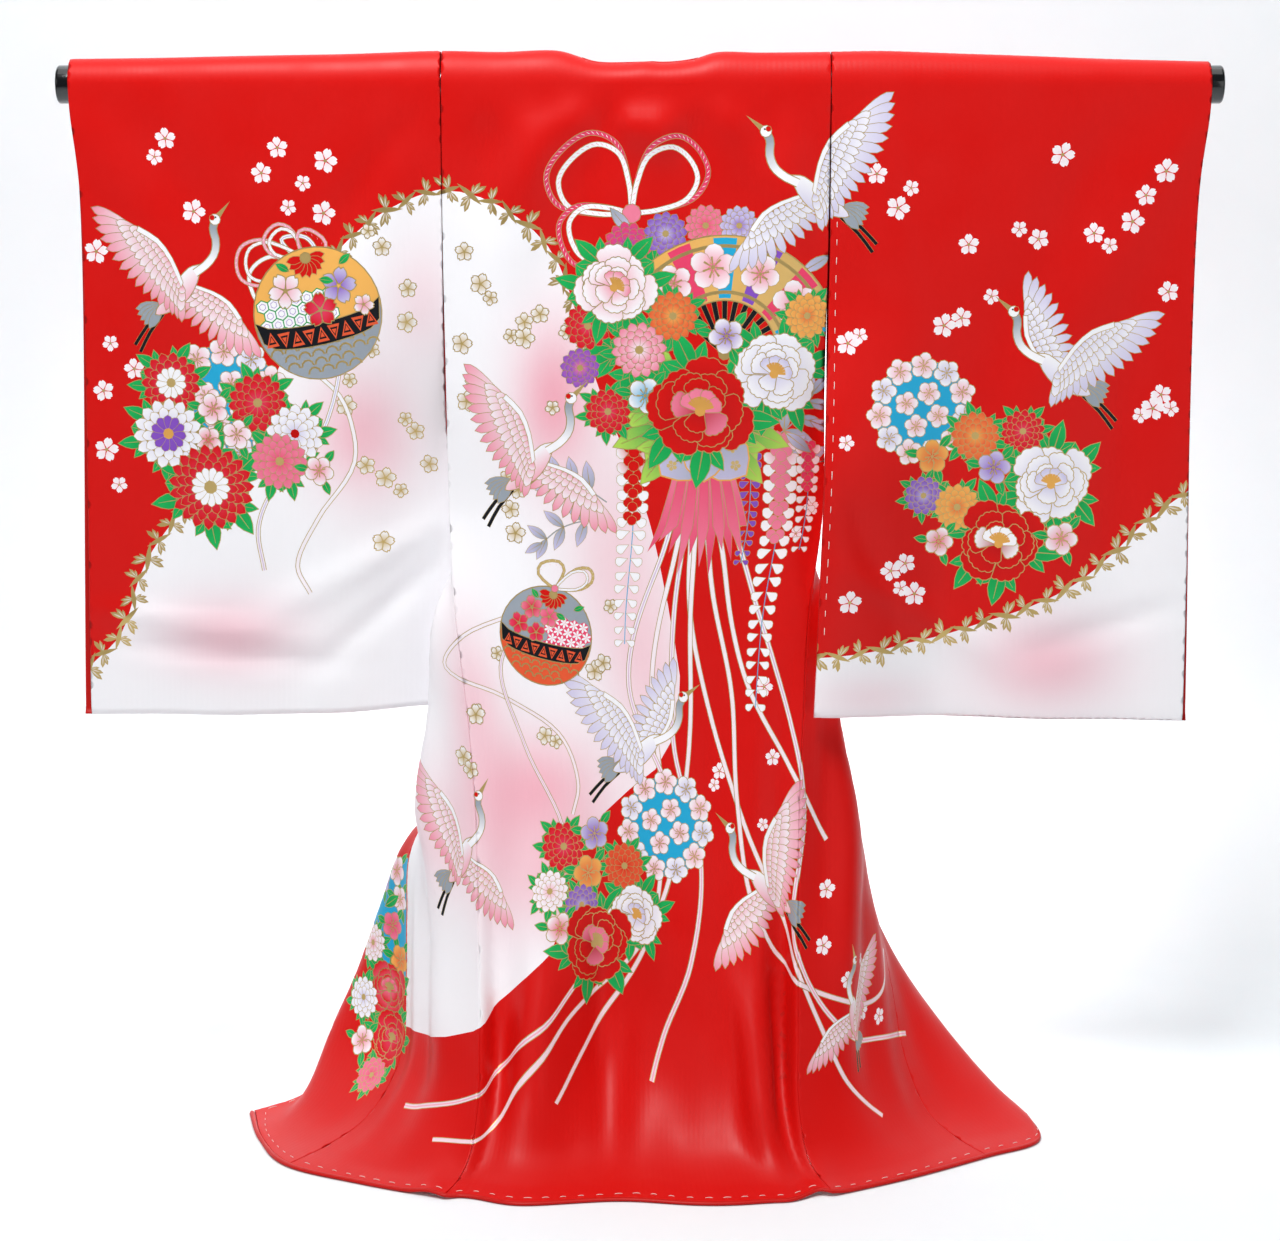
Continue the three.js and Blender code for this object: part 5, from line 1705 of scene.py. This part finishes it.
back = sewn_cloth("back_silk", HANGS["back"], back_outline(), 9, body.shapes, ROD_ROWS)
rod = rod_turned()
declare(rod, "rod", "black_lacquer")
declare(back, "back_panel", "figured_silk", flat=(2 * BOLT * MM, LENGTH * MM), held="hung", rests_on=[rod])
for side in SIGN:
    hang = HANGS["front_" + side]
    front = sewn_cloth("front_silk_" + side, hang, front_outline(side), 9, body.shapes, ROD_ROWS)
    declare(front, "front_" + side, "figured_silk", flat=(FRONT_WIDTH * MM, LENGTH * MM), held="hung",
            rests_on=[rod])
    hang = HANGS["overlap_" + side]
    overlap = sewn_cloth("overlap_silk_" + side, hang, overlap_outline(hang), 9, body.shapes)
    widest = float(np.abs(hang.last - hang.first).max())
    declare(overlap, "overlap_" + side, "figured_silk", flat=(widest * MM,
        (hang.down[-1] - hang.down[0]) * MM), held="hung", rests_on=[front],
        area=abs(signed_area(overlap_outline(hang))) * MM * MM)
    sleeve = sewn_cloth("sleeve_silk_" + side, HANGS["sleeve_" + side], sleeve_outline(side), 9,
                        sleeves[side].shapes, np.concatenate([-ROD_ROWS, [0], ROD_ROWS]))
    declare(sleeve, "sleeve_" + side, "figured_silk", flat=(SLEEVE_WIDTH * MM, 2 * SLEEVE_DOWN[side] * MM),
            held="draped", rests_on=[rod])
declare(collar_cloth(), "collar", "figured_silk", flat=(2 * COLLAR["width"] * MM,
    (WRAP_ARC - COLLAR["end"]) * MM), held="hung", rests_on=[rod])
hem_length = float(run_along(hem_path()[0])[-1])
roll = hem_roll_cloth()


def basting(name, runs):
    """Long running stitches of white thread: each run is a hang and its line of spots on the flat cut."""
    strand, gap, radius, sides = 9.5, 8.5, 0.34, 5
    angle = round_turn(sides)
    points, faces = [], []
    for hang, line in runs:
        line = np.asarray(line, float)
        starts = np.arange(4, run_along(line)[-1] - strand, strand + gap)
        for k, start in enumerate(starts):
            want = start + strand * (0.86 + 0.14 * math.sin(5.1 * k)) * np.linspace(0, 1, 5)
            middle, normal = hang.lay(places_along(line, want))
            lift = CLOTH / 2 + np.array([-0.5, 0.25, 0.4, 0.25, -0.5])
            middle = middle + normal * lift[:, None]
            side = np.cross(unit(np.gradient(middle, axis=0)), normal)
            ring = middle[:, None] + radius * (
                side[:, None] * np.cos(angle)[:, None] + normal[:, None] * np.sin(angle)[:, None])
            base = len(points) * 5 * sides
            points.append(ring.reshape(-1, 3))
            for i in range(4):
                for j in range(sides):
                    a, b = base + i * sides + j, base + i * sides + (j + 1) % sides
                    faces += [(a, b, b + sides), (a, b + sides, a + sides)]
            last = base + 4 * sides
            faces += [(base, base + j + 1, base + j) for j in range(1, sides - 1)]
            faces += [(last, last + j, last + j + 1) for j in range(1, sides - 1)]
    stitches = make_mesh(name, np.vstack(points), faces, materials=(cotton_thread(),))
    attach(stitches, "root")
    return stitches


def hem_runs():
    """Along the whole hem, and up both front edges."""
    inset, foot = 9, LENGTH - 9
    runs = [(HANGS["back"], [(-BOLT + 3, foot), (BOLT - 3, foot)])]
    for side, sign in SIGN.items():
        seam = BOLT + FRONT_WIDTH
        runs.append((HANGS["front_" + side], [(sign * (BOLT + 3), foot), (sign * (seam - 3), foot)]))
        hang = HANGS["overlap_" + side]
        edge = np.column_stack([hang.last - sign * inset, hang.down])
        edge = edge[(hang.down > 640) & (hang.down < foot)][::-1]
        runs.append((hang, np.vstack([[(sign * (seam + 3), foot), (edge[0, 0], foot)], edge])))
    runs.append((HANGS["sleeve_right"], [(BOLT + 7, 150), (BOLT + 6, 610)]))
    return runs


basting("basting", hem_runs())

# ---- The room ------------------------------------------------------------------------------------


def floor_and_wall():
    """A seamless pale sweep of painted board: matt, slightly blue, with a faint mottle from the roller."""
    material, tree = new_material("matt painted board")
    place = add(tree, "ShaderNodeTexCoord")
    mottle = add(tree, "ShaderNodeTexNoise", Vector=place.outputs["Object"], Scale=9.0, Detail=3.0)
    tint = add(tree, "ShaderNodeMix", {"data_type": "RGBA"}, Factor=mottle.outputs["Fac"],
        i6=rgb("#F0F7FA"), i7=rgb("#F6FBFD"))
    paint = add(tree, "ShaderNodeBsdfPrincipled", Base_Color=tint.outputs[2], Roughness=0.7, IOR=1.5)
    finish_material(tree, paint)
    floor_z, wall_y, bend = -1070.1, 900, 400
    turn = np.linspace(0, math.pi / 2, 17)
    profile = [(-3600, floor_z)] + [(wall_y - bend + bend * math.sin(t),
        floor_z + bend - bend * math.cos(t)) for t in turn] + [(wall_y, 2600)]
    width = 4200
    net = np.array([[(x, y, z) for x in (-width, 0, width)] for y, z in profile])
    rows = len(profile)
    faces = [(i * 3 + j, i * 3 + j + 1, (i + 1) * 3 + j + 1, (i + 1) * 3 + j)
             for i in range(rows - 1) for j in range(2)]
    board = make_mesh("painted_sweep", net.reshape(-1, 3), np.array(faces), materials=(material,))


def look_along(thing, direction):
    thing.rotation_euler = Vector(direction).to_track_quat("-Z", "Y").to_euler()


def area_light(name, where, towards, size, power, colour="#FFFFFF"):
    light = bpy.data.lights.new(name, "AREA")
    light.shape, light.size, light.energy, light.color = "SQUARE", size, power, tuple(linear(colour))
    lamp = bpy.data.objects.new(name, light)
    lamp.location = where
    look_along(lamp, Vector(towards) - Vector(where))
    bpy.context.scene.collection.objects.link(lamp)


declare(roll, "hem_roll", "lining_silk", flat=(10.4 * MM, hem_length * MM), held="folded", rests_on=[back])
floor_and_wall()
camera = bpy.data.cameras.new("camera")
camera.lens, camera.sensor_width = 83.04, 36
eye = bpy.data.objects.new("camera", camera)
eye.location = (0, -3.0, -0.065)
eye.rotation_euler = (math.radians(90 - 9.048), 0, 0)
bpy.context.scene.collection.objects.link(eye)
bpy.context.scene.camera = eye
area_light("softbox_overhead", (-0.45, -1.5, 2.2), (0, 0, -0.6), 1.0, 84)
area_light("window", (-2.3, -1.8, 0.6), (0, 0, -0.5), 1.2, 5)
area_light("fill", (2.2, -2.6, 0.0), (0, 0, -0.6), 2.0, 12)
area_light("wall_wash", (0, 0.35, 1.9), (0, 0.95, -0.3), 2.4, 24)
area_light("wall_foot", (0, 0.5, -0.45), (0, 0.9, -0.95), 0.45, 5)
world = bpy.data.worlds.new("room")
world.use_nodes = True
world.node_tree.nodes["Background"].inputs["Color"].default_value = rgb("#F2F8FC")
world.node_tree.nodes["Background"].inputs["Strength"].default_value = 0.1
bpy.context.scene.world = world
bpy.context.scene.view_settings.view_transform = "Standard"
